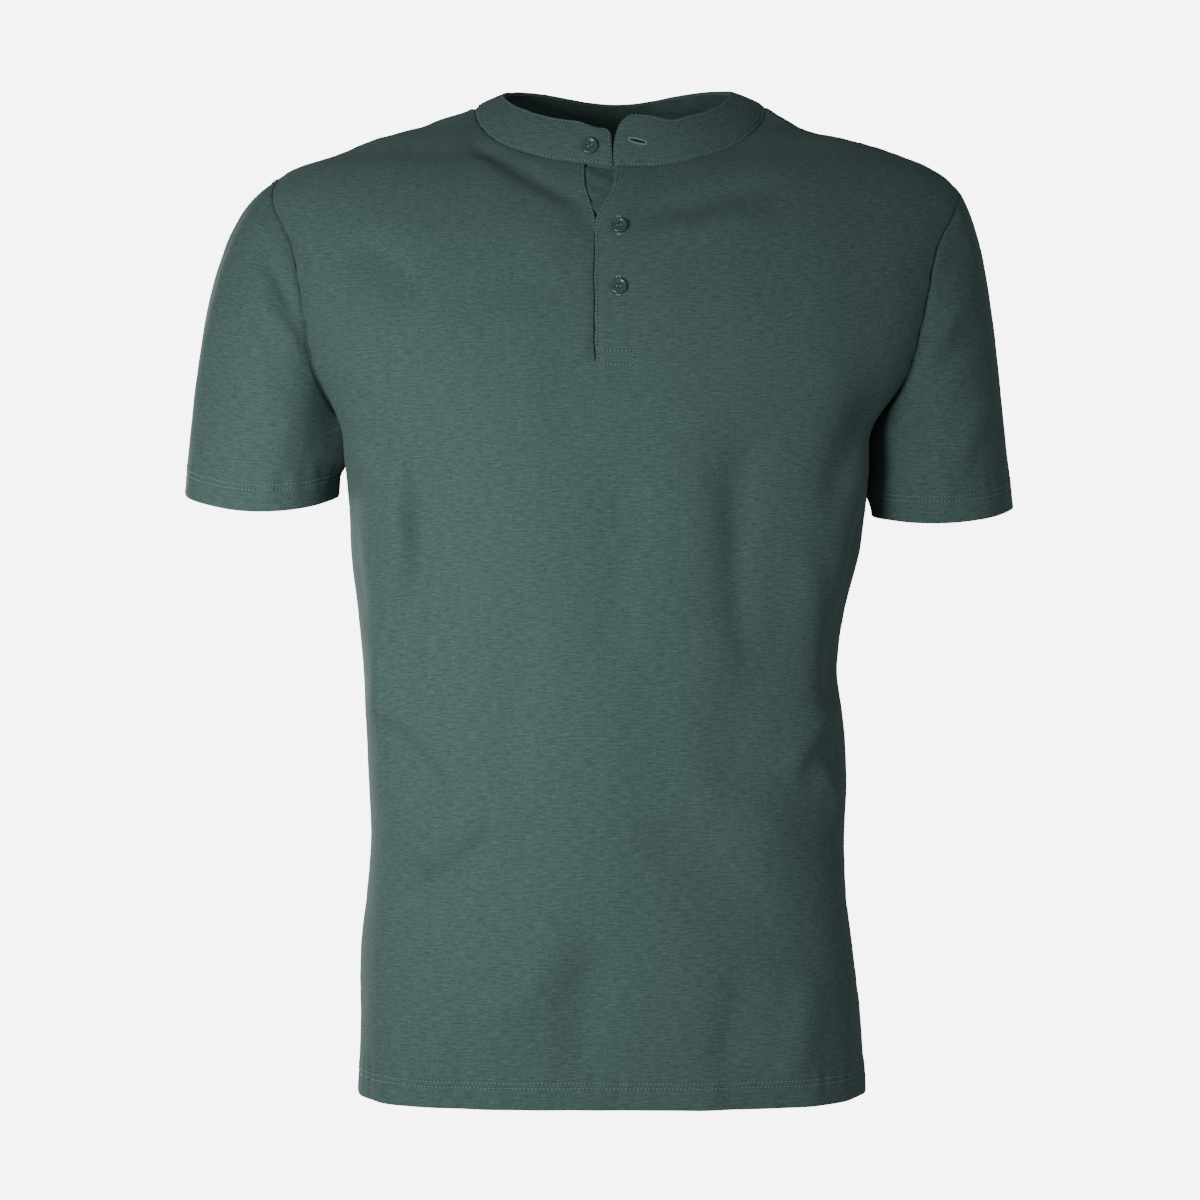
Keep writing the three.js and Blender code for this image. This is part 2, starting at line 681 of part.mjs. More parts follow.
// The facet of the front that lies at (x, z) in the front view: the point there and the facet's normal
function frontSeat(x, z) {
  const { outer } = frontPanel;
  const spot = new THREE.Vector3(x, 0, z);
  for (let j = slitRow; j < outer.length - 1; j++) {
    const [a, b] = [outer[j][rightLip], outer[j][rightLip + 1]];
    const [c, d] = [outer[j + 1][rightLip + 1], outer[j + 1][rightLip]];
    for (const corners of [[a, b, c], [a, c, d]]) {
      const flat = new THREE.Triangle(...corners.map((p) => new THREE.Vector3(p.x, 0, p.z)));
      if (!flat.containsPoint(spot)) continue;
      const shares = flat.getBarycoord(spot, new THREE.Vector3()).toArray();
      const point = new THREE.Vector3();
      corners.forEach((corner, k) => point.addScaledVector(corner, shares[k]));
      return { point, normal: new THREE.Triangle(...corners).getNormal(new THREE.Vector3()) };
    }
  }
  throw new Error("no part of the turned edge lies there");
}

// Where a button's foot stands: on the band's outer face, or on the front's
function buttonSeat({ x, z }) {
  if (z < NECK.z - NECK.frontDrop) return frontSeat(x, z);
  const column = { foot: neckFoot(x), turn: Math.asin((x - neckMiddle) / neckHalf) };
  const up = (z - column.foot.z) / (bandTop(column.turn).z - column.foot.z);
  const point = bandPoint(column, up);
  const aside = { foot: neckFoot(x - 1), turn: Math.asin((x - 1 - neckMiddle) / neckHalf) };
  const across = point.clone().sub(bandPoint(aside, up));
  const along = bandPoint(column, up + 0.03).sub(bandPoint(column, up - 0.03));
  return { point, normal: across.cross(along).normalize() };
}

const shirt = new THREE.Group();

function addPiece(name, geometry, look) {
  const mesh = new THREE.Mesh(geometry, new THREE.MeshStandardMaterial(look));
  mesh.name = name;
  geometry.computeVertexNormals();
  shirt.add(mesh);
  return mesh;
}

addPiece("front", makeFront(), CLOTH_LOOK);
addPiece("back", makeBack(), CLOTH_LOOK);
addPiece("sleeve_right", makeSleeve(SLEEVES[0]), CLOTH_LOOK);
addPiece("sleeve_left", makeSleeve(SLEEVES[1]), CLOTH_LOOK);
addPiece("neckband", makeBand(), CLOTH_LOOK);
addPiece("placket_under", makePlacketUnder(), CLOTH_LOOK);
const faceUp = new THREE.Vector3(0, 0, 1);
BUTTONS.forEach((row, i) => {
  const button = addPiece(`button_${i + 1}`, buttonGeometry(), BUTTON_LOOK);
  const { point, normal } = buttonSeat(row);
  button.position.copy(point).addScaledVector(normal, BUTTON.lift);
  button.quaternion.setFromUnitVectors(faceUp, normal);
});

export default shirt;
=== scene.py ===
# %% [markdown]
# # A henley shirt, worn by nobody
# This lesson builds the visual model of a short-sleeved henley in a fine cotton interlock knit. The solids
# of the part are loaded first, and each piece of cloth here takes the place of one of them: it has the same
# form, on a much finer grid, with the creases, rolled edges, seams and stitches that a solid can't carry.

# %% Modules, the frame and the size before anything is added
import math

import bpy
import numpy as np
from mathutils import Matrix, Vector
from mathutils.geometry import delaunay_2d_cdt


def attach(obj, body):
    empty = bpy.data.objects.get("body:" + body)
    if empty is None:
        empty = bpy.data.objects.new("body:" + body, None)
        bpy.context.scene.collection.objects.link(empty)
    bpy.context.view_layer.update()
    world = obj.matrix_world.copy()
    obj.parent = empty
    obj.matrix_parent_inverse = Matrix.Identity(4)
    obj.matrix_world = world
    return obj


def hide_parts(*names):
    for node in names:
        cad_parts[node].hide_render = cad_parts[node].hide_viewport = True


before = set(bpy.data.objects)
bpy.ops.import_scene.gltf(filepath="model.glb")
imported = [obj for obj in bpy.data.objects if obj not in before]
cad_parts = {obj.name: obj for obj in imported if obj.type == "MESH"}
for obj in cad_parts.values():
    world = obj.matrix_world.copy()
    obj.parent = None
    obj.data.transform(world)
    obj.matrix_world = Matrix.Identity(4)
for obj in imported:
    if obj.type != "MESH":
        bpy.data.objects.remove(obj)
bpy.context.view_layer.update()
MM = 0.001
print("nodes of the part:", sorted(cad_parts))

# %% [markdown]
# ## The form of the body
# The body of the shirt is a loft: level sections, from the hem to the neck, each a rounded box that is as
# wide and deep as the cloth was at that height. Sizes are in millimetres. These are the same sections as in
# the part, so the fine cloth lies where the solid lies.

# %% Sections: z, shift sideways, half width, middle of the depth, front and back depth, squareness
BODY = np.array(
    [
        [-702, 1, 180, -2, 106, 102, 3],
        [-650, 0, 178.2, -2, 106.5, 101, 2.85],
        [-600, -2.5, 176, -2, 108, 97, 2.6],
        [-560, -3, 172, -2, 109, 93, 2.5],
        [-520, -2.5, 170.5, -2, 110, 89, 2.45],
        [-480, -2.7, 172.2, -2, 111, 86, 2.45],
        [-440, -4.5, 172, -2, 113, 86, 2.45],
        [-400, -7.6, 170.3, -2, 115, 88, 2.45],
        [-360, -7, 174.8, -2, 118, 93, 2.45],
        [-320, -4.5, 182, -2, 121, 99, 2.45],
        [-290, -3, 184.5, -2, 122, 103, 2.5],
        [-270, -3, 187, -2, 123, 105, 2.55],
        [-250, -4, 190.5, -2, 123, 107, 2.6],
        [-230, -3.5, 195, -2, 123, 108, 2.65],
        [-215, -2, 202, -2, 123, 109, 2.7],
        [-200, 0, 210, -2, 122, 109, 2.72],
        [-185, 1, 218, -2, 121, 109, 2.78],
        [-150, 2, 230, -2, 116, 109, 2.8],
        [-100, 2, 244, -2, 101, 105, 2.6],
        [-75, 1, 253, -2, 88, 99, 2.4],
        [-60, 0, 251, -2, 78, 93, 2.3],
        [-45, 0, 235, -2, 65, 85, 2.25],
        [-34, 5, 206, -2, 51, 78, 2.2],
        [-23, 3, 178, -2, 38, 69, 2.2],
        [-12.6, 1, 138, -2, 24, 55, 2.2],
        [-5.4, 3, 123, -2, 15, 36, 2.2],
        [0, 5.5, 111, -2, 9, 22, 2.2],
        [4, 7, 102, -2, 5, 12, 2.2],
        [8, 7, 91, -2, 3, 7, 2.2],
    ],
    float,
)
print(len(BODY), "sections,", BODY[-1, 0] - BODY[0, 0], "mm from the hem to the top")

# %% [markdown]
# The largest folds belong to the form itself: the cloth hangs from the shoulders and the chest, and gives a
# little at the waist. Noise would put them anywhere, so each is a line with a height of its own.

# %% Broad folds of the form, seen from the front: x0, z0, x1, z1, spread, rise
FRONT_FOLDS = [
    [-100, -42, -18, -92, 15, -4.5],
    [-150, -250, -158, -420, 22, 3],
    [-112, -230, -122, -430, 20, -2.5],
    [96, -250, 88, -470, 24, -3],
    [150, -200, 128, -420, 22, 3],
    [-150, -600, -60, -530, 20, -3.5],
    [40, -520, 128, -610, 26, -3.5],
    [20, -86, 110, -62, 16, -2.5],
]
BACK_FOLDS = [
    [-120, -240, -70, -430, 24, -3.5],
    [118, -240, 74, -440, 24, -3.5],
    [-90, -470, 80, -455, 22, -3],
    [-60, -60, -150, -150, 22, 2.5],
    [60, -60, 150, -150, 22, 2.5],
]
print(len(FRONT_FOLDS), "broad folds in front,", len(BACK_FOLDS), "behind")

# %% [markdown]
# A maker cuts the armholes, the neckline and the slit out of flat cloth. Here they are lines on the body, so
# that both sides of a seam follow one line and meet. Each table gives such a line by a few measures. Pieces
# are named for the wearer's right and left, but the two sides of the slit and of the band's opening are
# named as seen from the front.

# %% Where the pieces meet: armholes, neck, slit and sleeves
PIT_Z = -222
PIT_SPLAY = 0.36
CAP_SPREAD = 0.25
TIP_Z = {-1: -50, 1: -61}
SHOULDER_ANGLE = math.radians(80)
PIT_DENT = {"depth": 0.05, "z": -226, "rise": 34, "spread": math.radians(16)}
ARMHOLE = np.array(
    [
        [0, 90, 90],
        [0.145, 83.5, 83.5],
        [0.225, 78, 78.5],
        [0.29, 73.5, 74.5],
        [0.39, 69.5, 71],
        [0.476, 67.7, 69.3],
        [0.645, 66.5, 70],
        [0.78, 70.5, 78],
        [0.885, 75, 88],
        [1, 80, 100],
    ]
)
NECK = {"z": 2.5, "front_drop": 50.5, "back_drop": 16}
BAND_TOP = {"x": 4, "half": 82, "mid": -4, "front": 60, "back": 54, "z": 17}
BAND_TOP_DROP = {"front": 34, "back": 3, "swell": 3.5, "soft": 0.11}
BAND_BOW = 1.6
BAND_ENDS = {
    "x": 1.4,
    "gap": 0.3,
    "round": 7,
    "lean": 13,
    "lift_right": 6.5,
    "lift_left": -4,
    "reach_right": 64,
    "reach_left": 34,
}
SLIT = {"x": -11, "width": 0.1, "bottom": -189, "part_from": -92, "part_to": -57, "left": 7.6, "right": 14.2}
PLACKET = {"width": 25, "cloth": 1.8, "turned": 2.2}
SLEEVES = {
    -1: {
        "x": -250.5,
        "y": 2,
        "z": -276,
        "across": 54,
        "deep": 61,
        "slant": 1.5,
        "rear": 14,
        "dip": -6,
        "cap": 182,
        "drop": 27,
        "press": 7.5,
        "from": -228,
        "to": (-264, -246),
    },
    1: {
        "x": 238.8,
        "y": 2,
        "z": -288,
        "across": 50,
        "deep": 60,
        "slant": 3,
        "rear": 10,
        "dip": -4,
        "cap": 140,
        "drop": 60,
        "press": 8,
        "from": -236,
        "to": (-288, -264),
    },
}
# The two panels lie this far apart at the side and shoulder seams
SEAM_GAP = 0.03
# A sleeve or the band starts this far behind the panel's edge, so that no light shows through
SEAM_LAP = 0.12
CLOTH = 1.2
DOUBLED = 2.2
HEM_DEPTH = 20
# The two rows of the twin needle, above the hem's edge
HEM_ROWS = [15.2, 18.7]
print("cloth", CLOTH, "mm, doubled", DOUBLED, "mm, hem rows at", HEM_ROWS, "mm")

# %% [markdown]
# ## Small tools for curves
# A fine grid is only needed where something small happens: at a rolled edge, a seam or a row of stitches.
# So the steps of each grid are graded, tight near those places and wide in the open cloth.


# %% Curves and grids
def smoothstep(low, high, value):
    share = np.clip((np.asarray(value, float) - low) / (high - low), 0, 1)
    return share * share * (3 - 2 * share)


def mix(a, b, share):
    return a + (b - a) * share


def distance_along(points, axis):
    steps = np.linalg.norm(np.diff(points, axis=axis), axis=-1)
    start = np.zeros_like(np.take(steps, [0], axis=axis))
    return np.concatenate([start, np.cumsum(steps, axis=axis)], axis=axis)


def unit(vectors):
    return vectors / np.maximum(np.linalg.norm(vectors, axis=-1, keepdims=True), 1e-12)


def graded(places, finest, coarsest, growth=0.3):
    """Steps from the first place to the last that pass each place, finest there and coarsest between."""
    found = [np.array(places[:1], float)]
    for k in range(len(places) - 1):
        fine = np.linspace(places[k], places[k + 1], 500)
        near = np.minimum(finest[k] + growth * (fine - fine[0]), finest[k + 1] + growth * (fine[-1] - fine))
        step = np.minimum(near, coarsest)
        count = np.concatenate([[0], np.cumsum(np.diff(fine) * 2 / (step[1:] + step[:-1]))])
        steps = max(1, round(count[-1]))
        found.append(np.interp(np.arange(1, steps + 1) * count[-1] / steps, count, fine))
    return np.concatenate(found)


def smooth_curve(knots, rows):
    """A smooth curve through the rows of a table, as a function of the knots."""
    last = len(knots) - 1
    numbers = np.arange(last + 1)
    before = np.maximum(numbers - 1, 0)
    after = np.minimum(numbers + 1, last)
    slopes = (rows[after] - rows[before]) / (knots[after] - knots[before])[:, None]

    def at(place):
        place = np.asarray(place, float)
        i = np.clip(np.searchsorted(knots, place) - 1, 0, last - 1)
        span = knots[i + 1] - knots[i]
        s = np.clip((place - knots[i]) / span, 0, 1)[..., None]
        span = span[..., None]
        end = smoothstep(0, 1, s)
        held = mix(rows[i], rows[i + 1], end)
        return held + slopes[i] * s * (1 - s) ** 2 * span - slopes[i + 1] * (1 - s) * s * s * span

    return at


inward = np.maximum(np.abs(np.diff(BODY[:, 2])), np.abs(np.diff(BODY[:, 4])))
body_knots = np.concatenate([[0], np.cumsum(np.hypot(np.diff(BODY[:, 0]), inward))])
body_end = body_knots[-1]
section = smooth_curve(body_knots, BODY)
armhole_angles = smooth_curve(ARMHOLE[:, 0], np.radians(ARMHOLE[:, 1:]))


def solve(rising, value, low, high):
    """The places where a rising function reaches the value, for whole arrays at once."""
    low = np.array(low, float)
    high = np.array(high, float)
    for _ in range(44):
        middle = (low + high) / 2
        short = rising(middle) < value
        low = np.where(short, middle, low)
        high = np.where(short, high, middle)
    return (low + high) / 2


def run_at(z):
    z = np.asarray(z, float)
    return solve(lambda run: section(run)[..., 0], z, np.zeros(z.shape), np.full(z.shape, body_end))


def form_rise(folds, x, z):
    rise = 0
    for x0, z0, x1, z1, spread, height in folds:
        along = np.array([x1 - x0, z1 - z0], float)
        share = np.clip(((x - x0) * along[0] + (z - z0) * along[1]) / (along @ along), 0, 1)
        off = np.hypot(x - x0 - along[0] * share, z - z0 - along[1] * share)
        rise = rise + height * np.exp(-((off / spread) ** 2))
    return rise


def body_point(angle, run):
    """A point of the body's outer face. The angle is 0 at the front middle, half a turn at the back."""
    angle, run = np.broadcast_arrays(np.asarray(angle, float), np.asarray(run, float))
    z, shift, half, mid, front, back, square = np.moveaxis(section(run), -1, 0)
    side = np.sin(angle)
    ahead = np.cos(angle)
    off_side = (np.arcsin(np.minimum(np.abs(side), 1)) - math.pi / 2) / PIT_DENT["spread"]
    off_pit = (z - PIT_DENT["z"]) / PIT_DENT["rise"]
    dent = PIT_DENT["depth"] * np.exp(-(off_side**2) - off_pit**2)
    power = 2 / square
    x = half * np.sign(side) * np.abs(side) ** power * (1 - dent)
    y = np.where(ahead > 0, -front, back) * np.abs(ahead) ** power
    in_front = form_rise(FRONT_FOLDS, x + shift, z)
    behind = form_rise(BACK_FOLDS, x + shift, z)
    rise = np.where(ahead > 0, in_front, behind) * smoothstep(0, 0.35, np.abs(ahead))
    grow = 1 + rise / np.maximum(np.hypot(x, y), 1)
    return np.stack([x * grow + shift, y * grow + mid, z], -1)


def body_normal(angle, run):
    across = body_point(angle + 0.01, run) - body_point(angle - 0.01, run)
    low = np.clip(run - 1.5, 0, body_end)
    high = np.clip(run + 1.5, 0, body_end)
    return unit(np.cross(across, body_point(angle, high) - body_point(angle, low)))


def front_angle(x, run):
    found = section(run)
    share = np.clip((x - found[..., 1]) / found[..., 2], -1, 1)
    return np.sign(share) * np.arcsin(np.abs(share) ** (found[..., 6] / 2))


print("rows climb from 0 at the hem to", round(float(body_end)), "at the top section")

# %% [markdown]
# ## Grids of the two panels
# A panel's rows climb the side seam, then the armhole, then the shoulder seam, and its columns fan out from
# the middle. The front has two columns that part along the slit of the placket. Below 60 mm the rows keep
# level with the hem, so that its stitches can run along them.

# %% Rows and columns of the panels
pit_run = float(run_at(PIT_Z))
tip_run = {side: float(run_at(z)) for side, z in TIP_Z.items()}
neck_sides = [body_point(side * SHOULDER_ANGLE, run_at(NECK["z"]))[0] for side in (-1, 1)]
neck_middle = (neck_sides[0] + neck_sides[1]) / 2
neck_half = (neck_sides[1] - neck_sides[0]) / 2


def armhole_run(side, w):
    return mix(pit_run, tip_run[side], smoothstep(0, 1, w))


def neck_run(angle_at, drop, shape):
    """How far up the body the neckline lies, for a row of columns."""

    def below(run):
        p = body_point(angle_at(run), run)
        across = (p[..., 0] - neck_middle) / neck_half
        down = np.maximum(0, NECK["z"] - p[..., 2]) / drop
        return -(across**2 + down**2)

    low = np.full(shape, float(run_at(NECK["z"] - drop - 1)))
    return solve(below, -1, low, np.full(shape, body_end))


def short_of_seam(angle, run):
    step = 0.001
    moved = np.linalg.norm(body_point(angle - step, run) - body_point(angle, run), axis=-1)
    return angle - SEAM_GAP / 2 / (moved / step)


def slit_lip(side, run):
    parted = 1 - smoothstep(SLIT["part_from"], SLIT["part_to"], section(run)[..., 0])
    open_by = -SLIT["left"] if side < 0 else SLIT["right"]
    lip = SLIT["x"] + side * SLIT["width"] / 2 + (1 - parted) * open_by
    if side < 0:
        return lip
    # The turned edge laps over the other by a millimetre, and waves a little
    z = section(run)[..., 0]
    lap = smoothstep(SLIT["bottom"], SLIT["bottom"] + 12, z)
    return lip - lap * (0.9 + 0.35 * np.sin(z / 5.5) * smoothstep(-175, -120, z))


side_runs = graded([0, *HEM_ROWS, pit_run], [0.22, 0.45, 0.45, 3], 3.9)
ARM_STEPS = 56
shoulder_shares = graded([0, 130], [3.5, 0.25], 3.9)[1:] / 130


def even_climb(side, branch):
    """Places at even steps along the armhole seam."""
    w = np.linspace(0, 1, 800)
    angle = armhole_angles(w)[:, 0 if branch == "front" else 1]
    steps = np.hypot(np.diff(armhole_run(side, w)), 230 * np.diff(angle))
    walked = np.concatenate([[0], np.cumsum(steps)])
    return np.interp(np.arange(1, ARM_STEPS + 1) * walked[-1] / ARM_STEPS, walked, w)


def panel_rows(side, branch, top_run):
    """Runs of the rows at a panel's edge and in its open cloth, and the angles of its edge."""
    shoulder = SHOULDER_ANGLE if branch == "front" else math.pi - SHOULDER_ANGLE
    w = even_climb(side, branch)
    arm = armhole_angles(w)[:, 0 if branch == "front" else 1]
    even = mix(pit_run, tip_run[side], np.arange(1, ARM_STEPS + 1) / ARM_STEPS)
    top = mix(tip_run[side], top_run, shoulder_shares)
    angles = [np.full(len(side_runs), math.pi / 2), arm, np.full(len(shoulder_shares), shoulder)]
    at_edge = np.concatenate([side_runs, armhole_run(side, w), top])
    return at_edge, np.concatenate([side_runs, even, top]), np.concatenate(angles)


def panel_grid(columns, branch, angle_of):
    """Runs and angles of a panel's grid. A column is how far it lies from the middle to each side."""
    drop = NECK["front_drop"] if branch == "front" else NECK["back_drop"]
    shoulder = SHOULDER_ANGLE if branch == "front" else math.pi - SHOULDER_ANGLE
    tops = neck_run(lambda run: angle_of(run, shoulder), drop, columns.shape)
    ends = {side: tops[np.argmin(side * -columns)] for side in (-1, 1)}
    left_runs, left_even, left_angles = panel_rows(-1, branch, ends[-1])
    right_runs, right_even, right_angles = panel_rows(1, branch, ends[1])
    share = smoothstep(-1, 1, columns)
    at_edge = mix(left_runs[:, None], right_runs[:, None], share)
    even = mix(left_even[:, None], right_even[:, None], share)
    edge_run = mix(even, at_edge, np.abs(columns) ** 8)
    edge_top = mix(ends[-1], ends[1], share)
    run = edge_run * (1 + (tops / edge_top - 1) * smoothstep(60, 440, edge_run))
    edge_angle = np.where(columns < 0, left_angles[:, None], right_angles[:, None])
    return run, angle_of(run, edge_angle)


# Columns of the front: from the left side to the slit, over the turned edge, and on to the right side
away_left = graded([0, 240], [0.3, 0.3], 3.9) / 240
turned_in = graded([0, PLACKET["width"]], [0.3, 1], 2) / PLACKET["width"]
away_right = graded([0, 215], [1, 0.3], 3.9)[1:] / 215
first = 1 / 13
front_columns = np.concatenate([-away_left[::-1] - 1e-9, turned_in * first, mix(first, 1, away_right)])
left_lip = len(away_left) - 1
right_lip = left_lip + 1
turned_end = right_lip + len(turned_in) - 1


def front_column_angle(run, edge_angle):
    shape = run.shape
    outer = np.sign(front_columns + 1e-12) * short_of_seam(np.broadcast_to(edge_angle, shape), run)
    inner_left = front_angle(slit_lip(-1, run), run)
    inner_x = SLIT["x"] + PLACKET["width"]
    turned = front_angle(mix(slit_lip(1, run), inner_x, np.clip(front_columns / first, 0, 1)), run)
    right = mix(front_angle(inner_x, run), outer, np.clip((front_columns - first) / (1 - first), 0, 1))
    left = mix(inner_left, outer, np.clip(-front_columns, 0, 1))
    return np.where(front_columns < 0, left, np.where(front_columns <= first, turned, right))


back_columns = 1 - graded([0, 250, 500], [0.3, 3.9, 0.3], 3.9) / 250


def back_column_angle(run, edge_angle):
    return math.pi - back_columns * short_of_seam(np.broadcast_to(edge_angle, run.shape), run)


def panel(columns, branch, angle_of):
    run, angle = panel_grid(columns, branch, angle_of)
    return body_point(angle, run), body_normal(angle, run), run


front_form, front_normals, front_climb = panel(front_columns, "front", front_column_angle)
back_form, back_normals, back_climb = panel(back_columns, "back", back_column_angle)
slit_row = int(np.argmin(np.abs(front_form[:, right_lip, 2] - SLIT["bottom"])))
print("front grid", front_form.shape[:2], "back grid", back_form.shape[:2], "slit from row", slit_row)

# %% [markdown]
# ## Sleeves and neckband
# Each sleeve leaves the armhole seam outwards at the cap and downwards at the pit, and ends in an oval cuff.
# The neckband stands on the neckline seam and leans in to a smaller, higher ring. Its free ends meet at the
# slit. Both are rounded: the left one dips, and the right one leans back and rises.


# %% Sleeve grids
def armhole_loop(side):
    shares = graded([0, 190], [0.6, 3], 3.2) / 190
    w = np.concatenate([shares[::-1], shares[1:-1]])
    front_part = len(shares)
    angles = armhole_angles(w)
    angle = np.where(np.arange(len(w)) < front_part, angles[:, 0], math.pi - angles[:, 1]) * side
    run = armhole_run(side, w)
    return w, body_point(angle, run), body_normal(angle, run)


def sleeve_form(side):
    sleeve = SLEEVES[side]
    w, seam_points, seam_normals = armhole_loop(side)
    length = np.linalg.norm(np.roll(seam_points, -1, 0) - seam_points, axis=1)
    turn = 2 * math.pi * np.concatenate([[0], np.cumsum(length)[:-1]]) / length.sum()
    seam = unit(np.roll(seam_points, -1, 0) - np.roll(seam_points, 1, 0))
    drop = math.radians(sleeve["drop"])
    cap = np.array([side * math.cos(drop), 0, -math.sin(drop)])
    pit = unit(np.array([side * PIT_SPLAY, 0, -1.0]))
    direction = mix(pit, cap, smoothstep(0, 1, w)[:, None])
    direction[:, 1] += CAP_SPREAD * (seam_points[:, 1] - sleeve["y"]) / sleeve["deep"]
    direction = unit(direction)
    folded = smoothstep(0, 0.5, (direction * seam_normals).sum(-1))[:, None]
    own = unit(np.cross(direction, seam) * -side)
    away = unit(mix(direction, seam_normals, folded * 0.6))
    first_normal = unit(mix(seam_normals, own, folded))
    start = seam_points - away * SEAM_LAP
    out = np.cos(turn)
    ahead = np.sin(turn)
    cuff_z = sleeve["z"] + sleeve["slant"] * out - sleeve["rear"] / 2 * ahead + sleeve["dip"] * ahead**2
    cuff_x = sleeve["x"] + side * sleeve["across"] * out
    cuff = np.stack([cuff_x, sleeve["y"] - sleeve["deep"] * ahead, cuff_z], -1)
    span = np.linalg.norm(cuff - start, axis=1)
    reach = mix(45, sleeve["cap"], smoothstep(0.1, 1, w))
    leave = direction * np.minimum(reach, 1.6 * span)[:, None]
    arrive = np.array([side * 0.1, 0, -1]) * (span * 0.9)[:, None]

    def at(s):
        s = s[..., None]
        end = smoothstep(0, 1, s)
        return mix(start, cuff, end) + leave * s * (1 - s) ** 2 - arrive * (1 - s) * s * s

    # Rows at even distances: from the seam in the upper part, and from the cuff's edge in the hem
    fine = np.linspace(0, 1, 161)
    track = at(np.repeat(fine[:, None], len(w), 1))
    walked = distance_along(track, 0)
    total = walked[-1]
    from_seam = graded([0, 12], [0.3, 3], 3.4)
    from_cuff = graded([0, *HEM_ROWS, 32], [0.22, 0.45, 0.45, 3], 3.4)[::-1]
    middle = np.linspace(0, 1, 32)[1:-1, None] * (total - 44) + 12
    target = np.concatenate([np.repeat(from_seam[:, None], len(w), 1), middle, total - from_cuff[:, None]])
    share = np.stack([np.interp(target[:, k], walked[:, k], fine) for k in range(len(w))], 1)
    points = at(share)
    own_normals = grid_normals(points, side, ring=True)
    normals = unit(mix(first_normal, own_normals, smoothstep(0, 0.3, share)[..., None]))
    # Beside the seam the cloth dips along the body's own normal, so that both edges stay together
    dip = mix(seam_normals, normals, smoothstep(0, 9, target)[..., None])
    if side < 0:
        return points[:, ::-1], normals[:, ::-1], w[::-1], unit(dip)[:, ::-1]
    return points, normals, w, unit(dip)


def grid_normals(points, outward=1, ring=False):
    sides = np.pad(points, ((0, 0), (1, 1), (0, 0)), mode="wrap" if ring else "edge")
    ends = np.pad(points, ((1, 1), (0, 0), (0, 0)), mode="edge")
    return unit(np.cross(sides[:, 2:] - sides[:, :-2], ends[2:] - ends[:-2])) * outward


sleeve_forms = {side: sleeve_form(side) for side in (-1, 1)}
print("sleeve grids", sleeve_forms[-1][0].shape[:2], sleeve_forms[1][0].shape[:2])


# %% Neckband grid
def neck_foot(x):
    """Points and normals of the front part of the neckline seam."""
    x = np.atleast_1d(np.asarray(x, float))
    across = (x - neck_middle) / neck_half
    run = run_at(NECK["z"] - NECK["front_drop"] * np.sqrt(1 - across**2))
    angle = front_angle(x, run)
    return body_point(angle, run), body_normal(angle, run)


def band_top(turn):
    ahead = np.cos(turn)
    depth = np.where(ahead > 0, -BAND_TOP["front"], BAND_TOP["back"])
    back_z = BAND_TOP_DROP["swell"] * np.sin(2 * turn) ** 2 - BAND_TOP_DROP["back"] * ahead**6
    # The rim rolls over softly at its two corners
    soft = BAND_TOP_DROP["soft"]
    drop = BAND_TOP_DROP["front"] * soft * np.log1p(np.exp(ahead / soft))
    z = BAND_TOP["z"] - drop + np.where(ahead > 0, 0, back_z)
    x = BAND_TOP["x"] + BAND_TOP["half"] * np.sin(turn)
    return np.stack([x, BAND_TOP["mid"] + depth * np.abs(ahead), z], -1)


right_end = BAND_ENDS["x"] + BAND_ENDS["gap"] / 2
left_end = BAND_ENDS["x"] - BAND_ENDS["gap"] / 2
lip_x = front_form[-1, [left_lip, right_lip], 0]
overlap = graded([0, left_end - lip_x[0]], [1, 0.22], 1.5)[1:]
first_feet = neck_foot(right_end + graded([0, lip_x[1] - right_end], [0.22, 0.3], 1)[:-1])
last_feet = neck_foot(lip_x[0] + overlap)


def foot_line(first, front_part, back_part, last):
    """One value all along the band's foot, from its free end on the right round to the one on the left."""
    ahead_right = front_part[-1, right_lip:]
    ahead_left = front_part[-1, :right_lip]
    return np.concatenate([first, ahead_right, back_part[-1], ahead_left, last])


feet = foot_line(first_feet[0], front_form, back_form, last_feet[0])
feet_normals = foot_line(first_feet[1], front_normals, back_normals, last_feet[1])
first_back = len(feet) - len(overlap) - right_lip - back_form.shape[1]
number = np.arange(len(feet))
lean = np.arcsin(np.clip((feet[:, 0] - neck_middle) / neck_half, -1, 1))
is_behind = (number >= first_back) & (number < first_back + back_form.shape[1])
band_turn = np.where(is_behind, math.pi - lean, np.where(number < first_back, lean, lean + 2 * math.pi))
foot_place = distance_along(feet[None], 1)[0]
beside = np.exp(-(((foot_place[:, None] - foot_place) / 7) ** 2)) * np.gradient(foot_place)
eased = (beside / beside.sum(1, keepdims=True)) @ band_turn
by_corner = np.exp(-((np.abs(np.abs(np.sin(band_turn)) - 1) / 0.3) ** 2))
band_turn = mix(band_turn, eased, by_corner)
band_turn = (band_turn + math.pi) % (2 * math.pi) - math.pi
band_ups = graded([0, 29], [0.25, 0.22], 1.5) / 29


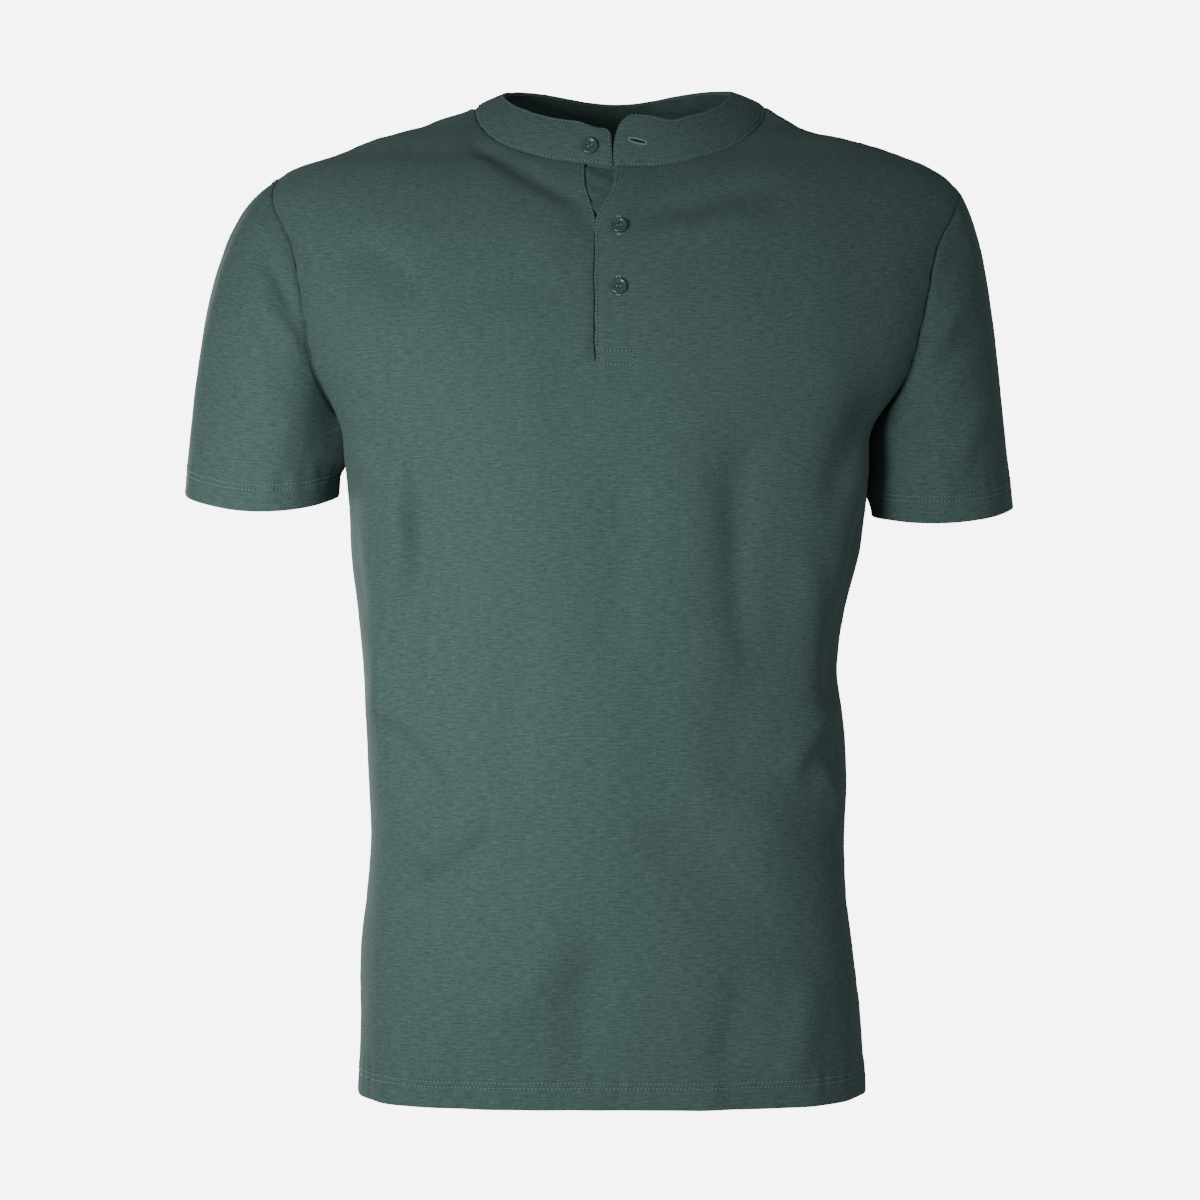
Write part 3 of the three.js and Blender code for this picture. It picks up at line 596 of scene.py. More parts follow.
def band_form(feet, turn, ups):
    side = np.where(feet[:, 0] > BAND_ENDS["x"], 1, -1)
    tops = band_top(turn)
    height = np.linalg.norm(feet - tops, axis=1)
    reach = np.where(side > 0, BAND_ENDS["reach_right"], BAND_ENDS["reach_left"])
    off_end = np.abs(feet[:, 0] - BAND_ENDS["x"]) / reach
    near = np.where(np.cos(turn) > 0, smoothstep(1, 0, off_end), 0)
    up = ups[:, None]
    corner = np.clip((up * height - height + BAND_ENDS["round"]) / BAND_ENDS["round"], 0, 1)
    rounded = BAND_ENDS["round"] * (1 - np.sqrt(1 - corner**2))
    shift = side * near * np.where(side > 0, 0.72 * BAND_ENDS["lean"] * up**3 + 0.9 * rounded, rounded)
    lift = near * np.where(side > 0, BAND_ENDS["lift_right"], BAND_ENDS["lift_left"]) * up * up
    outward = np.stack([np.sin(turn), -np.cos(turn), 0 * turn], -1)
    points = mix(feet, tops, mix(-SEAM_LAP / height, 1, up)[..., None])
    bow = BAND_BOW * 4 * up * (1 - up) * (1 + 1.1 * np.abs(np.sin(turn)) ** 6)
    points = points + outward * bow[..., None]
    return points + np.stack([shift, 0 * shift, lift], -1)


band_points = band_form(feet, band_turn, band_ups)
# The rim's two corners, above the shoulders, are soft: each row is smoothed along itself there
corner_weight = np.exp(-((np.abs(np.abs(band_turn) - math.pi / 2) / 0.45) ** 4))[:, None]
for j, up in enumerate(band_ups):
    place = distance_along(band_points[j : j + 1], 1)[0]
    near = np.exp(-(((place[:, None] - place) / (0.5 + 7 * up)) ** 2)) * np.gradient(place)
    smoothed = (near / near.sum(1, keepdims=True)) @ band_points[j]
    band_points[j] = mix(band_points[j], smoothed, corner_weight * smoothstep(0, 0.3, up))
band_normals = grid_normals(band_points)
print("neckband grid", band_points.shape[:2])

# %% [markdown]
# ## Creases
# Cloth on a body is never smooth. The larger creases are placed one by one, each where the photo shows it, in
# its own length, width and height, and similar ones are placed on the back. Each is a ridge or a trough,
# often with one steeper side, that dies out at both ends. A faint waviness runs under them all, and it is
# one field in space, so that pieces that meet move together.

# %% Creases: x0, z0, x1, z1, bow sideways, width on the two sides, height
FRONT_CREASES = [
    [-108, -38, -8, -96, -2, 15, 15, 2.4],
    [-108, -16, -4, -84, -6, 9, 8, -2.5],
    [-100, -56, -30, -112, -6, 9, 16, 0.6],
    [18, -90, 128, -60, 5, 6, 11, -1.7],
    [22, -104, 118, -84, 6, 8, 14, 1.2],
    [-30, -130, -120, -168, -8, 12, 18, -1.2],
    [-196, -196, -150, -262, 7, 9, 14, -1.7],
    [-192, -214, -140, -330, 10, 8, 14, 2.8],
    [-186, -240, -168, -380, -6, 7, 10, -1.2],
    [-146, -228, -149, -366, 3, 5, 9, 2.4],
    [-131, -240, -136, -372, 3, 14, 6, -1.6],
    [-188, -96, -128, -146, 6, 11, 18, -2.2],
    [-149, -296, -170, -452, 4, 3.2, 9, 1.4],
    [-128, -280, -140, -440, -6, 12, 16, -2.5],
    [196, -196, 150, -300, -8, 8, 13, -2.2],
    [190, -214, 156, -380, -8, 8, 13, 2.9],
    [176, -270, 150, -440, 6, 7, 11, -2.9],
    [132, -300, 138, -450, 5, 10, 15, 2.2],
    [94, -230, 88, -400, -6, 12, 20, -3.1],
    [64, -260, 74, -430, 6, 14, 20, 2],
    [-60, -330, -78, -500, 6, 16, 22, -1.9],
    [-176, -430, -110, -500, 8, 8, 14, -3.4],
    [-172, -500, -96, -548, 6, 8, 13, 2.8],
    [-150, -574, -64, -504, 4, 10, 13, -2.6],
    [-160, -548, -90, -470, -6, 9, 15, 1.2],
    [-90, -650, -30, -560, -8, 14, 20, 2.3],
    [26, -500, 116, -590, 12, 12, 20, -1.4],
    [40, -470, 140, -540, 10, 12, 18, 1.2],
    [140, -458, 168, -516, 3, 5, 9, 1.9],
    [168, -420, 120, -480, -6, 8, 12, 2.5],
    [70, -690, 92, -590, -5, 12, 18, -1.7],
    [120, -696, 134, -600, -5, 12, 16, 2.5],
    [-20, -696, -6, -580, 6, 16, 20, -2.3],
    [-126, -698, -112, -620, 5, 10, 16, 2.2],
    [6, -230, -6, -420, 8, 18, 24, -1.6],
]
BACK_CREASES = [
    [-190, -200, -120, -330, 12, 8, 14, -4.2],
    [-182, -240, -96, -400, 14, 10, 16, 3],
    [190, -200, 124, -350, -12, 8, 14, -4.2],
    [180, -250, 92, -390, -12, 10, 16, 3.2],
    [-60, -30, -120, -120, -8, 10, 16, -2.6],
    [58, -30, 126, -128, 8, 10, 16, -2.7],
    [-20, -60, 16, -180, 6, 18, 24, -2.1],
    [-150, -420, -30, -470, 12, 9, 15, -3.8],
    [150, -430, 20, -486, -12, 9, 15, -4],
    [-120, -460, 110, -440, -8, 10, 18, 2.9],
    [-140, -520, 60, -520, 10, 12, 18, -2.9],
    [-96, -560, -110, -690, 5, 12, 18, 2.6],
    [30, -560, 44, -694, -6, 14, 20, -2.7],
    [110, -560, 120, -692, 5, 12, 17, 2.4],
]
SLEEVE_CREASES = {
    -1: {
        "front": [
            [-254, -90, -230, -120, 3, 5, 9, -0.9],
            [-252, -100, -213, -162, 2, 6, 6, -2.4],
            [-258, -128, -212, -184, 2, 4, 8, 1.3],
            [-272, -128, -236, -228, 5, 8, 12, 1.0],
            [-286, -180, -262, -272, 4, 8, 12, -0.9],
            [-222, -214, -236, -276, -3, 7, 10, 0.6],
        ],
        "back": [
            [-256, -100, -214, -190, 6, 7, 11, -2.2],
            [-276, -150, -240, -250, 5, 8, 12, 1.8],
            [-220, -214, -246, -262, -3, 6, 9, -1.7],
        ],
    },
    1: {
        "front": [
            [252, -96, 230, -140, -4, 6, 10, -1.0],
            [262, -126, 212, -190, -2, 11, 6, 1.7],
            [268, -150, 216, -222, -4, 6, 13, -1.7],
            [276, -196, 240, -272, -4, 7, 11, 1.7],
            [208, -214, 226, -278, 3, 5, 8, -1.7],
            [216, -240, 244, -288, 3, 6, 9, 1.3],
        ],
        "back": [
            [256, -110, 216, -196, -6, 7, 11, -2.2],
            [272, -160, 236, -256, -5, 8, 12, 1.8],
            [214, -214, 238, -270, 3, 6, 9, -1.7],
        ],
    },
}
# All creases together are this much higher than their tables say
CREASE_HEIGHT = 1.9
print(len(FRONT_CREASES), "creases in front,", len(BACK_CREASES), "behind")


# %% How far the creases lift the cloth
def crease_rise(table, x, z):
    rise = np.zeros(x.shape)
    for x0, z0, x1, z1, bow, wide_up, wide_down, height in table:
        length = math.hypot(x1 - x0, z1 - z0)
        over, up = (x1 - x0) / length, (z1 - z0) / length
        along = ((x - x0) * over + (z - z0) * up) / length
        share = np.clip(along, 0, 1)
        off = (z - z0) * over - (x - x0) * up - bow * 4 * share * (1 - share)
        wide = np.where(off > 0, wide_up, wide_down)
        ends = smoothstep(0, 0.3, along) * smoothstep(1, 0.7, along)
        rise += height * CREASE_HEIGHT * np.exp(-((off / wide) ** 2)) * ends
    return rise


def waves(points, seed, length, height, upright=0.4):
    """A smooth random field in space: waves of about one length, drawn out along the height."""
    random = np.random.default_rng(seed)
    found = np.zeros(points.shape[:-1])
    for _ in range(14):
        way = unit(random.normal(size=3)) * random.uniform(0.7, 1.4) * 2 * math.pi / length
        way[2] *= upright
        found += np.sin(points @ way + random.uniform(0, 2 * math.pi))
    return found * height / math.sqrt(7)


def cloth_rise(points, normals, front_table, back_table):
    facing = normals[..., 1]
    ahead = crease_rise(front_table, points[..., 0], points[..., 2]) * smoothstep(-0.05, -0.4, facing)
    behind = crease_rise(back_table, points[..., 0], points[..., 2]) * smoothstep(0.05, 0.4, facing)
    return ahead + behind


def unevenness(points):
    return waves(points, 3, 130, 0.9) + waves(points, 5, 52, 0.28) + waves(points, 8, 21, 0.07, 0.8)


# %% [markdown]
# ## Seams, hems and edges
# A seam is a shallow furrow with small puckers beside it, because the cloth is turned in there and the
# stitches draw it together. A hem is cloth turned up twice: it is thicker, and each row of stitches presses
# a groove into it. A folded edge is round.


# %% Reliefs near edges
def furrow(distance, depth, width):
    return -depth * np.exp(-((distance / width) ** 2))


def rolled(distance, radius):
    """How far a rounded edge falls back from the face, at a distance from the edge."""
    short = radius - np.minimum(distance, radius)
    return radius - np.sqrt(np.maximum(radius**2 - short**2, 0))


def puckers(along, seed, length, height):
    random = np.random.default_rng(seed)
    found = np.zeros(along.shape)
    for _ in range(6):
        found += np.sin(along * 2 * math.pi / (length * random.uniform(0.6, 1.7)) + random.uniform(0, 6.3))
    return found * height / math.sqrt(3)


def hem_relief(from_edge, along, seed, fade):
    """Two pressed rows with the hem swelling between them, and puckers that fade up the cloth."""
    relief = 0.35 * smoothstep(23, 21, from_edge) * smoothstep(0, 3, from_edge)
    for row in HEM_ROWS:
        relief += furrow(from_edge - row, 0.55, 0.8)
    drawn = puckers(along, seed, 13, 0.34) * np.exp(-((np.abs(from_edge - 20) / 11) ** 2))
    flare = puckers(along, seed + 1, 58, 0.9) * smoothstep(46, 0, from_edge)
    return relief + (drawn + flare) * fade


def hem_thickness(from_edge):
    return mix(DOUBLED, CLOTH, smoothstep(HEM_DEPTH - 0.6, HEM_DEPTH + 3.2, from_edge))


def hem_edge(from_edge):
    """The folded edge of a hem falls back in a round, and stops just short of a sharp fold."""
    return np.minimum(rolled(from_edge, DOUBLED / 2), DOUBLED / 2 - 0.02)


def wall(outer, inner, ring=False, left_out=None):
    """Points, faces and grid numbers of a closed wall between two grids."""
    rows, columns = outer.shape[:2]
    wide = columns + 1 if ring else columns
    place = np.arange(rows * wide).reshape(rows, wide)
    corners = [place[:-1, :-1], place[:-1, 1:], place[1:, 1:], place[1:, :-1]]
    kept = np.ones(corners[0].shape, bool)
    if left_out is not None:
        kept[left_out] = False
    behind = rows * wide
    faces = [np.stack([c[kept] for c in corners], -1)]
    faces.append(np.stack([corners[k][kept] + behind for k in (0, 3, 2, 1)], -1))
    around = np.pad(kept, 1)
    if ring:
        around[1:-1, 0] = kept[:, -1]
        around[1:-1, -1] = kept[:, 0]
    neighbours = [around[:-2, 1:-1], around[1:-1, 2:], around[2:, 1:-1], around[1:-1, :-2]]
    for k, there in enumerate(neighbours):
        rim = kept & ~there
        a, b = corners[k][rim], corners[(k + 1) % 4][rim]
        faces.append(np.stack([b, a, a + behind, b + behind], -1))
    faces = np.concatenate(faces)
    vertex = (place // wide) * columns + (place % wide) % columns
    vertex = np.concatenate([vertex.ravel(), vertex.ravel() + rows * columns])
    return np.concatenate([outer.reshape(-1, 3), inner.reshape(-1, 3)]), faces, vertex


# %% [markdown]
# ## Materials
# The cloth is cotton interlock: two ribs of knitting back to back, smooth on both sides. Up close it shows
# columns of small V-shaped loops 1.1 mm wide. From further off the uneven yarn gives faint streaks along the
# courses, and the short fibres on its surface give a soft sheen at grazing angles.


# %% Colours and nodes
def linear(code):
    """sRGB hex as the linear colour that the shader takes."""
    parts = [int(code[k : k + 2], 16) / 255 for k in (1, 3, 5)]
    return [c / 12.92 if c <= 0.04045 else ((c + 0.055) / 1.055) ** 2.4 for c in parts] + [1]


def add(tree, kind, inputs=None, **settings):
    """One node with its settings, and its inputs as values or as links from other nodes."""
    node = tree.nodes.new(kind)
    for name, value in settings.items():
        setattr(node, name, value)
    for name, value in (inputs or {}).items():
        if isinstance(value, bpy.types.NodeSocket):
            tree.links.new(value, node.inputs[name])
        else:
            node.inputs[name].default_value = value
    return node


def new_material(name):
    material = bpy.data.materials.new(name)
    material.use_nodes = True
    material.node_tree.nodes.clear()
    return material, material.node_tree


def finish_material(tree, shader):
    add(tree, "ShaderNodeOutputMaterial", {"Surface": shader.outputs["BSDF"]})


# One column and one row of loops, in metres
WALE = 0.0011
COURSE = 0.0009
CLOTH_DARK = "#384f4d"
CLOTH_LIGHT = "#546b68"

# %% Cotton interlock
cloth, tree = new_material("cotton interlock knit")
grain = add(tree, "ShaderNodeUVMap", uv_map="grain").outputs["UV"]
split = add(tree, "ShaderNodeSeparateXYZ", {"Vector": grain})
# Streaks: uneven yarn, a course high and 3 to 8 mm long
stretched = add(tree, "ShaderNodeMapping", {"Vector": grain, "Scale": (330, 1000, 1)})
streaks = add(
    tree,
    "ShaderNodeTexNoise",
    {"Vector": stretched.outputs[0], "Scale": 1, "Detail": 3, "Roughness": 0.6},
)
longer = add(tree, "ShaderNodeMapping", {"Vector": grain, "Scale": (120, 800, 1)})
bands = add(
    tree,
    "ShaderNodeTexNoise",
    {"Vector": longer.outputs[0], "Scale": 1, "Detail": 2, "Roughness": 0.5},
)
# Faint ribs: the columns of loops, two or so together
upright = add(tree, "ShaderNodeMapping", {"Vector": grain, "Scale": (500, 60, 1)})
ribs = add(
    tree,
    "ShaderNodeTexNoise",
    {"Vector": upright.outputs[0], "Scale": 1, "Detail": 2, "Roughness": 0.5},
)
both = add(tree, "ShaderNodeMath", {0: streaks.outputs["Fac"], 1: bands.outputs["Fac"]}, operation="ADD")
all_three = add(
    tree,
    "ShaderNodeMath",
    {0: ribs.outputs["Fac"], 1: 0.2, 2: both.outputs[0]},
    operation="MULTIPLY_ADD",
)
shade = add(
    tree,
    "ShaderNodeMapRange",
    {"Value": all_three.outputs[0], "From Min": 0.76, "From Max": 1.44},
)
colour = add(tree, "ShaderNodeMix", {"Factor": shade.outputs[0]}, data_type="RGBA")
colour.inputs[6].default_value = linear(CLOTH_DARK)
colour.inputs[7].default_value = linear(CLOTH_LIGHT)
# Loops: across a column each leg of the V rises to the middle, and the courses slant with it
folded = add(tree, "ShaderNodeMath", {0: split.outputs["X"], 1: WALE / 2}, operation="PINGPONG")
slanted = add(
    tree,
    "ShaderNodeMath",
    {0: folded.outputs[0], 1: 0.9, 2: split.outputs["Y"]},
    operation="MULTIPLY_ADD",
)
course = add(tree, "ShaderNodeMath", {0: slanted.outputs[0], 1: 2 * math.pi / COURSE}, operation="MULTIPLY")
course_wave = add(tree, "ShaderNodeMath", {0: course.outputs[0]}, operation="SINE")
wale = add(tree, "ShaderNodeMath", {0: folded.outputs[0], 1: 2 * math.pi / WALE}, operation="MULTIPLY")
wale_wave = add(tree, "ShaderNodeMath", {0: wale.outputs[0]}, operation="SINE")
loops = add(
    tree,
    "ShaderNodeMath",
    {0: course_wave.outputs[0], 1: 0.45, 2: wale_wave.outputs[0]},
    operation="MULTIPLY_ADD",
)
with_streaks = add(
    tree,
    "ShaderNodeMath",
    {0: streaks.outputs["Fac"], 1: 0.4, 2: loops.outputs[0]},
    operation="MULTIPLY_ADD",
)
bump = add(tree, "ShaderNodeBump", {"Height": with_streaks.outputs[0], "Strength": 0.22, "Distance": 0.0002})
skin = add(
    tree,
    "ShaderNodeBsdfPrincipled",
    {
        "Base Color": colour.outputs[2],
        "Roughness": 0.88,
        "Specular IOR Level": 0.25,
        "Sheen Weight": 0.16,
        "Sheen Roughness": 0.5,
        "Sheen Tint": linear("#a3b8b4"),
        "Normal": bump.outputs[0],
    },
)
finish_material(tree, skin)

# %% [markdown]
# Thread is spun polyester, dyed a shade lighter than the cloth and smoother than the knit, so that it
# catches a little more light. The buttons are cast resin, tinted all through and polished: their glossy
# rims carry a small highlight, and that tells them from the matt cloth.

# %% Thread and resin
thread, tree = new_material("spun polyester thread")
place = add(tree, "ShaderNodeTexCoord").outputs["Object"]
twist = add(tree, "ShaderNodeTexNoise", {"Vector": place, "Scale": 2200, "Detail": 1})
bump = add(tree, "ShaderNodeBump", {"Height": twist.outputs["Fac"], "Strength": 0.3, "Distance": 0.0001})
skin = add(
    tree,
    "ShaderNodeBsdfPrincipled",
    {"Base Color": linear("#738f8c"), "Roughness": 0.55, "Sheen Weight": 0.1, "Normal": bump.outputs[0]},
)
finish_material(tree, skin)

resin, tree = new_material("polished resin button")
place = add(tree, "ShaderNodeTexCoord").outputs["Object"]
swirl = add(tree, "ShaderNodeTexNoise", {"Vector": place, "Scale": 260, "Detail": 3, "Distortion": 1.2})
tint = add(tree, "ShaderNodeMix", {"Factor": swirl.outputs["Fac"]}, data_type="RGBA")
tint.inputs[6].default_value = linear("#2c4240")
tint.inputs[7].default_value = linear("#415b58")
skin = add(
    tree,
    "ShaderNodeBsdfPrincipled",
    {"Base Color": tint.outputs[2], "Roughness": 0.28, "Coat Weight": 0.5, "Coat Roughness": 0.08},
)
finish_material(tree, skin)

# Painted shade: a near-black colour for the shade down inside a needle hole, a buttonhole slot or a sewn
# seam, where no light gets
painted_shade, tree = new_material("painted shade in holes and seams")
skin = add(tree, "ShaderNodeBsdfPrincipled", {"Base Color": linear("#131d1c"), "Roughness": 0.95})
finish_material(tree, skin)
print("materials:", [m.name for m in (cloth, thread, resin, painted_shade)])


# %% Putting pieces into the scene
def add_piece(name, points, faces, material, replaces=None, uv=None):
    mesh = bpy.data.meshes.new(name)
    mesh.from_pydata((points * MM).tolist(), [], [list(f) for f in faces])
    if uv is not None:
        layer = mesh.uv_layers.new(name="grain")
        layer.data.foreach_set("uv", uv.astype(np.float32).ravel())
    mesh.materials.append(material)
    mesh.shade_smooth()
    obj = bpy.data.objects.new(name, mesh)
    bpy.context.scene.collection.objects.link(obj)
    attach(obj, "root")
    if replaces:
        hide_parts(replaces)
    return obj


def add_cloth(name, outer, inner, replaces, ring=False, left_out=None, middle=0, climb=None):
    """A wall of cloth with its grain: how far each point lies across and along the piece, in metres."""
    points, faces, vertex = wall(outer, inner, ring, left_out)
    wide = np.concatenate([outer, outer[:, :1]], 1) if ring else outer
    across = distance_along(wide, 1)
    across = across - across[:, [middle]]
    along = distance_along(wide, 0)
    if ring:
        # The courses of a sleeve are level with its cuff
        along = along[-1] - along
        across = np.repeat(across[-1:], len(wide), 0)
    if climb is not None:
        along = climb
    grain = np.stack([across, along], -1).reshape(-1, 2) * MM
    grain = np.concatenate([grain, grain])
    obj = add_piece(name, points, vertex[faces], cloth, replaces, grain[faces])
    one_way = outer[1:, 1:] - outer[:-1, :-1]
    other_way = outer[1:, :-1] - outer[:-1, 1:]
    area = np.linalg.norm(np.cross(one_way, other_way), axis=-1).sum() / 2
    print(name, "faces", len(faces), "area", round(area / 1e6, 4), "m2, across", np.ptp(across) // 1)
    return obj


# %% [markdown]
# ## The two panels
# The front and back are cut from the knit and joined at the shoulders and sides. Their faces are moved by
# the creases and the reliefs of their edges, and the inner face follows the outer one.


# %% Front and back panels
def panel_relief(points, normals, seed):
    across = distance_along(points, 1)
    along = distance_along(points, 0)
    from_side = np.minimum(across, across[:, -1:] - across)
    from_top = along[-1] - along
    calm = smoothstep(0, 26, from_side) * smoothstep(0, 16, from_top)
    relief = cloth_rise(points, normals, FRONT_CREASES, BACK_CREASES) * calm + unevenness(points)
    relief += furrow(from_side, 1.25, 0.9) + furrow(from_top, 0.8, 1.1)
    relief += puckers(along, seed, 15, 0.3) * np.exp(-from_side / 7) * smoothstep(0, 2, from_side)
    relief += puckers(across, seed + 5, 12, 0.22) * np.exp(-from_top / 6) * smoothstep(0, 2, from_top)
    return relief + hem_relief(along, across, seed + 9, smoothstep(0, 22, from_side)), along, across


def make_front():
    relief, along, across = panel_relief(front_form, front_normals, 21)
    x, z = front_form[..., 0], front_form[..., 2]
    by_placket = smoothstep(34, 16, np.abs(x - 3)) * smoothstep(-215, -185, z)
    relief -= crease_rise(FRONT_CREASES, x, z) * by_placket * 0.75
    to_left_lip = np.abs(across - across[:, [left_lip]])
    to_right_lip = np.abs(across - across[:, [right_lip]])
    is_left = np.arange(front_form.shape[1]) <= left_lip
    slit_part = smoothstep(SLIT["bottom"] - 2, SLIT["bottom"] + 4, z)
    # The turned edge: a pressed row of stitches beside its fold, and its free edge showing faintly
    sewn_left = furrow(to_left_lip - 1.5, 0.4, 0.8)
    sewn_right = furrow(to_right_lip - 2.4, 0.6, 0.9)
    relief += np.where(is_left, sewn_left, sewn_right) * slit_part
    relief += np.where(is_left, 0, 0.35 * smoothstep(25, 21, to_right_lip)) * slit_part
    below_v = smoothstep(SLIT["part_to"] - 12, SLIT["part_from"], z)
    relief += np.where(is_left, -1.0, 0) * smoothstep(9, 2, to_left_lip) * slit_part * below_v
    ripple = puckers(z, 33, 17, 0.35) * np.exp(-to_right_lip / 8)
    relief += np.where(is_left, 0, ripple) * slit_part * smoothstep(0, 1.5, to_right_lip + 0.6)
    outer = front_form + front_normals * relief[..., None]
    thick = hem_thickness(along)
    turned = ~is_left * smoothstep(PLACKET["width"], PLACKET["width"] - 3, to_right_lip) * slit_part
    thick = np.maximum(thick, mix(CLOTH, PLACKET["turned"], turned))
    edge = hem_edge(along)
    lips = np.where(is_left, rolled(to_left_lip, CLOTH / 2), rolled(to_right_lip, PLACKET["turned"] / 2))
    edge = np.maximum(edge, np.where(slit_part > 0.99, np.minimum(lips, thick / 2 - 0.02), 0))
    inner = outer - front_normals * (thick - edge)[..., None]
    outer = outer - front_normals * edge[..., None]
    left_out = (slice(slit_row, None), left_lip)
    return outer, inner, left_out


front_outer, front_inner, slit_faces = make_front()
front = add_cloth(
    "front_panel",
    front_outer,
    front_inner,
    "front",
    left_out=slit_faces,
    middle=left_lip,
    climb=front_climb,
)


def make_back():
    relief, along, across = panel_relief(back_form, back_normals, 51)
    outer = back_form + back_normals * relief[..., None]
    edge = hem_edge(along)
    inner = outer - back_normals * (hem_thickness(along) - edge)[..., None]
    return outer - back_normals * edge[..., None], inner


back_outer, back_inner = make_back()
back_middle = back_outer.shape[1] // 2
back = add_cloth("back_panel", back_outer, back_inner, "back", middle=back_middle, climb=back_climb)

# %% [markdown]
# ## Sleeves
# A sleeve is one piece of knit closed by a seam under the arm. It hangs in long soft folds from the cap, and
# a few short ones gather at the pit, where the arm would press it against the body.


# %% Both sleeves
def make_sleeve(side):
    form, normals, w, dip = sleeve_forms[side]
    sleeve = SLEEVES[side]
    along = distance_along(form, 0)
    to_cuff = along[-1] - along
    ringed = np.concatenate([form, form[:, :1]], 1)
    across = distance_along(ringed, 1)[:, :-1]
    pit = int(np.argmin(w))
    round_it = distance_along(ringed, 1)[:, -1:]
    off_seam = np.abs(across - across[:, [pit]])
    off_seam = np.minimum(off_seam, round_it - off_seam)
    calm = smoothstep(0, 18, along)
    tables = SLEEVE_CREASES[side]
    relief = cloth_rise(form, normals, tables["front"], tables["back"]) * calm + unevenness(form)
    relief += furrow(along, 1.25, 0.9) + furrow(off_seam, 0.7, 1.2) * calm
    # A closed ring: the puckers fade at its top, where their start and end meet
    joint = smoothstep(0, 14, across) * smoothstep(0, 14, round_it - across)
    relief += puckers(across, 71 + side, 16, 0.32) * np.exp(-along / 8) * smoothstep(0, 2, along) * joint
    relief += hem_relief(to_cuff, across, 81 + side, joint)
    outer = form + dip * relief[..., None]
    # Below the pit the underside rests against the body for a short way
    z = form[..., 2]
    press = sleeve["press"] * smoothstep(-212, sleeve["from"], z) * smoothstep(*sleeve["to"], z)
    outer[..., 0] -= side * press * np.exp(-((off_seam / 30) ** 2))
    edge = hem_edge(to_cuff)
    inner = outer - normals * (hem_thickness(to_cuff) - edge)[..., None]
    return outer - normals * edge[..., None], inner


sleeve_walls = {side: make_sleeve(side) for side in (-1, 1)}
sleeve_right = add_cloth("right_sleeve", *sleeve_walls[-1], "sleeve_right", ring=True)
sleeve_left = add_cloth("left_sleeve", *sleeve_walls[1], "sleeve_left", ring=True)

# %% [markdown]
# ## Neckband and the strip behind the slit
# The neckband is knit folded double, edge-stitched all round. The strip behind the slit is folded cloth too:
# it carries the buttons, and where the neck stands open it shows as a narrow V with small wrinkles.


# %% Neckband
def make_band():
    along = distance_along(band_points, 0)
    across = distance_along(band_points, 1)
    from_top = along[-1] - along
    from_end = np.minimum(across, across[:, -1:] - across)
    free = np.minimum(from_top, from_end)
    x, z = band_points[..., 0], band_points[..., 2]
    relief = unevenness(band_points) + furrow(free - 2, 0.45, 0.7) + furrow(along - 2.2, 0.55, 0.8)
    relief += furrow(along, 0.8, 1.1)
    relief += puckers(across, 91, 14, 0.2) * np.exp(-along / 6) * smoothstep(0, 2, along)
    relief += puckers(across, 95, 17, 0.18) * np.exp(-from_top / 5)
    is_ahead = band_points[..., 1] < -20
    dimple = np.exp(-(((x - 16) / 8) ** 2) - ((z + 26) / 5) ** 2)
    relief -= 0.7 * dimple * is_ahead
    dip = unit(mix(feet_normals, band_normals, smoothstep(0, 7, along)[..., None]))
    outer = band_points + dip * relief[..., None]
    edge = np.minimum(rolled(free, DOUBLED / 2), DOUBLED / 2 - 0.03)
    inner = outer - band_normals * (DOUBLED - edge)[..., None]
    return outer, outer - band_normals * edge[..., None], inner


band_face, band_outer, band_inner = make_band()
neckband = add_cloth("neck_band", band_outer, band_inner, "neckband")


# %% Strip on the button side of the placket
def make_strip():
    rows = slice(slit_row, None)
    outer = front_outer[rows]
    normals = front_normals[rows]
    lip = slice(left_lip - 4, left_lip + 1)
    left_points, left_normals = outer[:, lip], normals[:, lip]
    gap_steps = np.linspace(0, 1, 14)[1:-1]
    gap_shares = gap_steps[:, None, None]
    gap = mix(outer[:, left_lip], outer[:, right_lip], gap_shares).transpose(1, 0, 2)
    gap_normals = unit(mix(normals[:, left_lip], normals[:, right_lip], gap_shares).transpose(1, 0, 2))
    right = slice(right_lip, turned_end + 1)
    points = np.concatenate([left_points, gap, outer[:, right]], 1)
    facing = np.concatenate([left_normals, gap_normals, normals[:, right]], 1)
    depth = np.concatenate(
        [
            np.full(left_points.shape[1], CLOTH),
            mix(CLOTH, PLACKET["turned"], gap_steps),
            np.full(turned_end + 1 - right_lip, PLACKET["turned"]),
        ]
    )
    opened = np.linalg.norm(outer[:, right_lip] - outer[:, left_lip], axis=-1)
    in_gap = np.zeros(len(depth))
    gap_columns = slice(left_points.shape[1], left_points.shape[1] + len(gap_steps))
    in_gap[gap_columns] = np.linspace(1.3, 0.3, len(gap_steps))
    depth = depth - smoothstep(1, 5, opened)[:, None] * in_gap
    x, z = points[..., 0], points[..., 2]
    wrinkles = puckers(z + 0.5 * x, 61, 10, 0.8) * smoothstep(-110, -80, z) * smoothstep(8, -4, x)
    wrinkles = np.minimum(wrinkles, 0.4)
    face = points - facing * (depth + SEAM_GAP + 0.6 - wrinkles)[..., None]
    # Its top is sewn in between the two layers of the band
    foot, _ = neck_foot(face[-1, :, 0])
    rise = unit(band_top(np.arcsin((foot[:, 0] - neck_middle) / neck_half)) - foot)
    inside = foot + np.array([0, 1.2, 0])
    tops = np.stack([inside + rise * up for up in (0.2, 1.6, 3)])
    face = np.concatenate([face, tops])
    facing = np.concatenate([facing, np.repeat(facing[-1:], 3, 0)])
    thick = np.full(len(face), PLACKET["cloth"])
    thick[-3:] = 0.6
    return face, face - facing * thick[:, None, None]


strip_outer, strip_inner = make_strip()
strip = add_cloth("placket_strip", strip_outer, strip_inner, "placket_under")

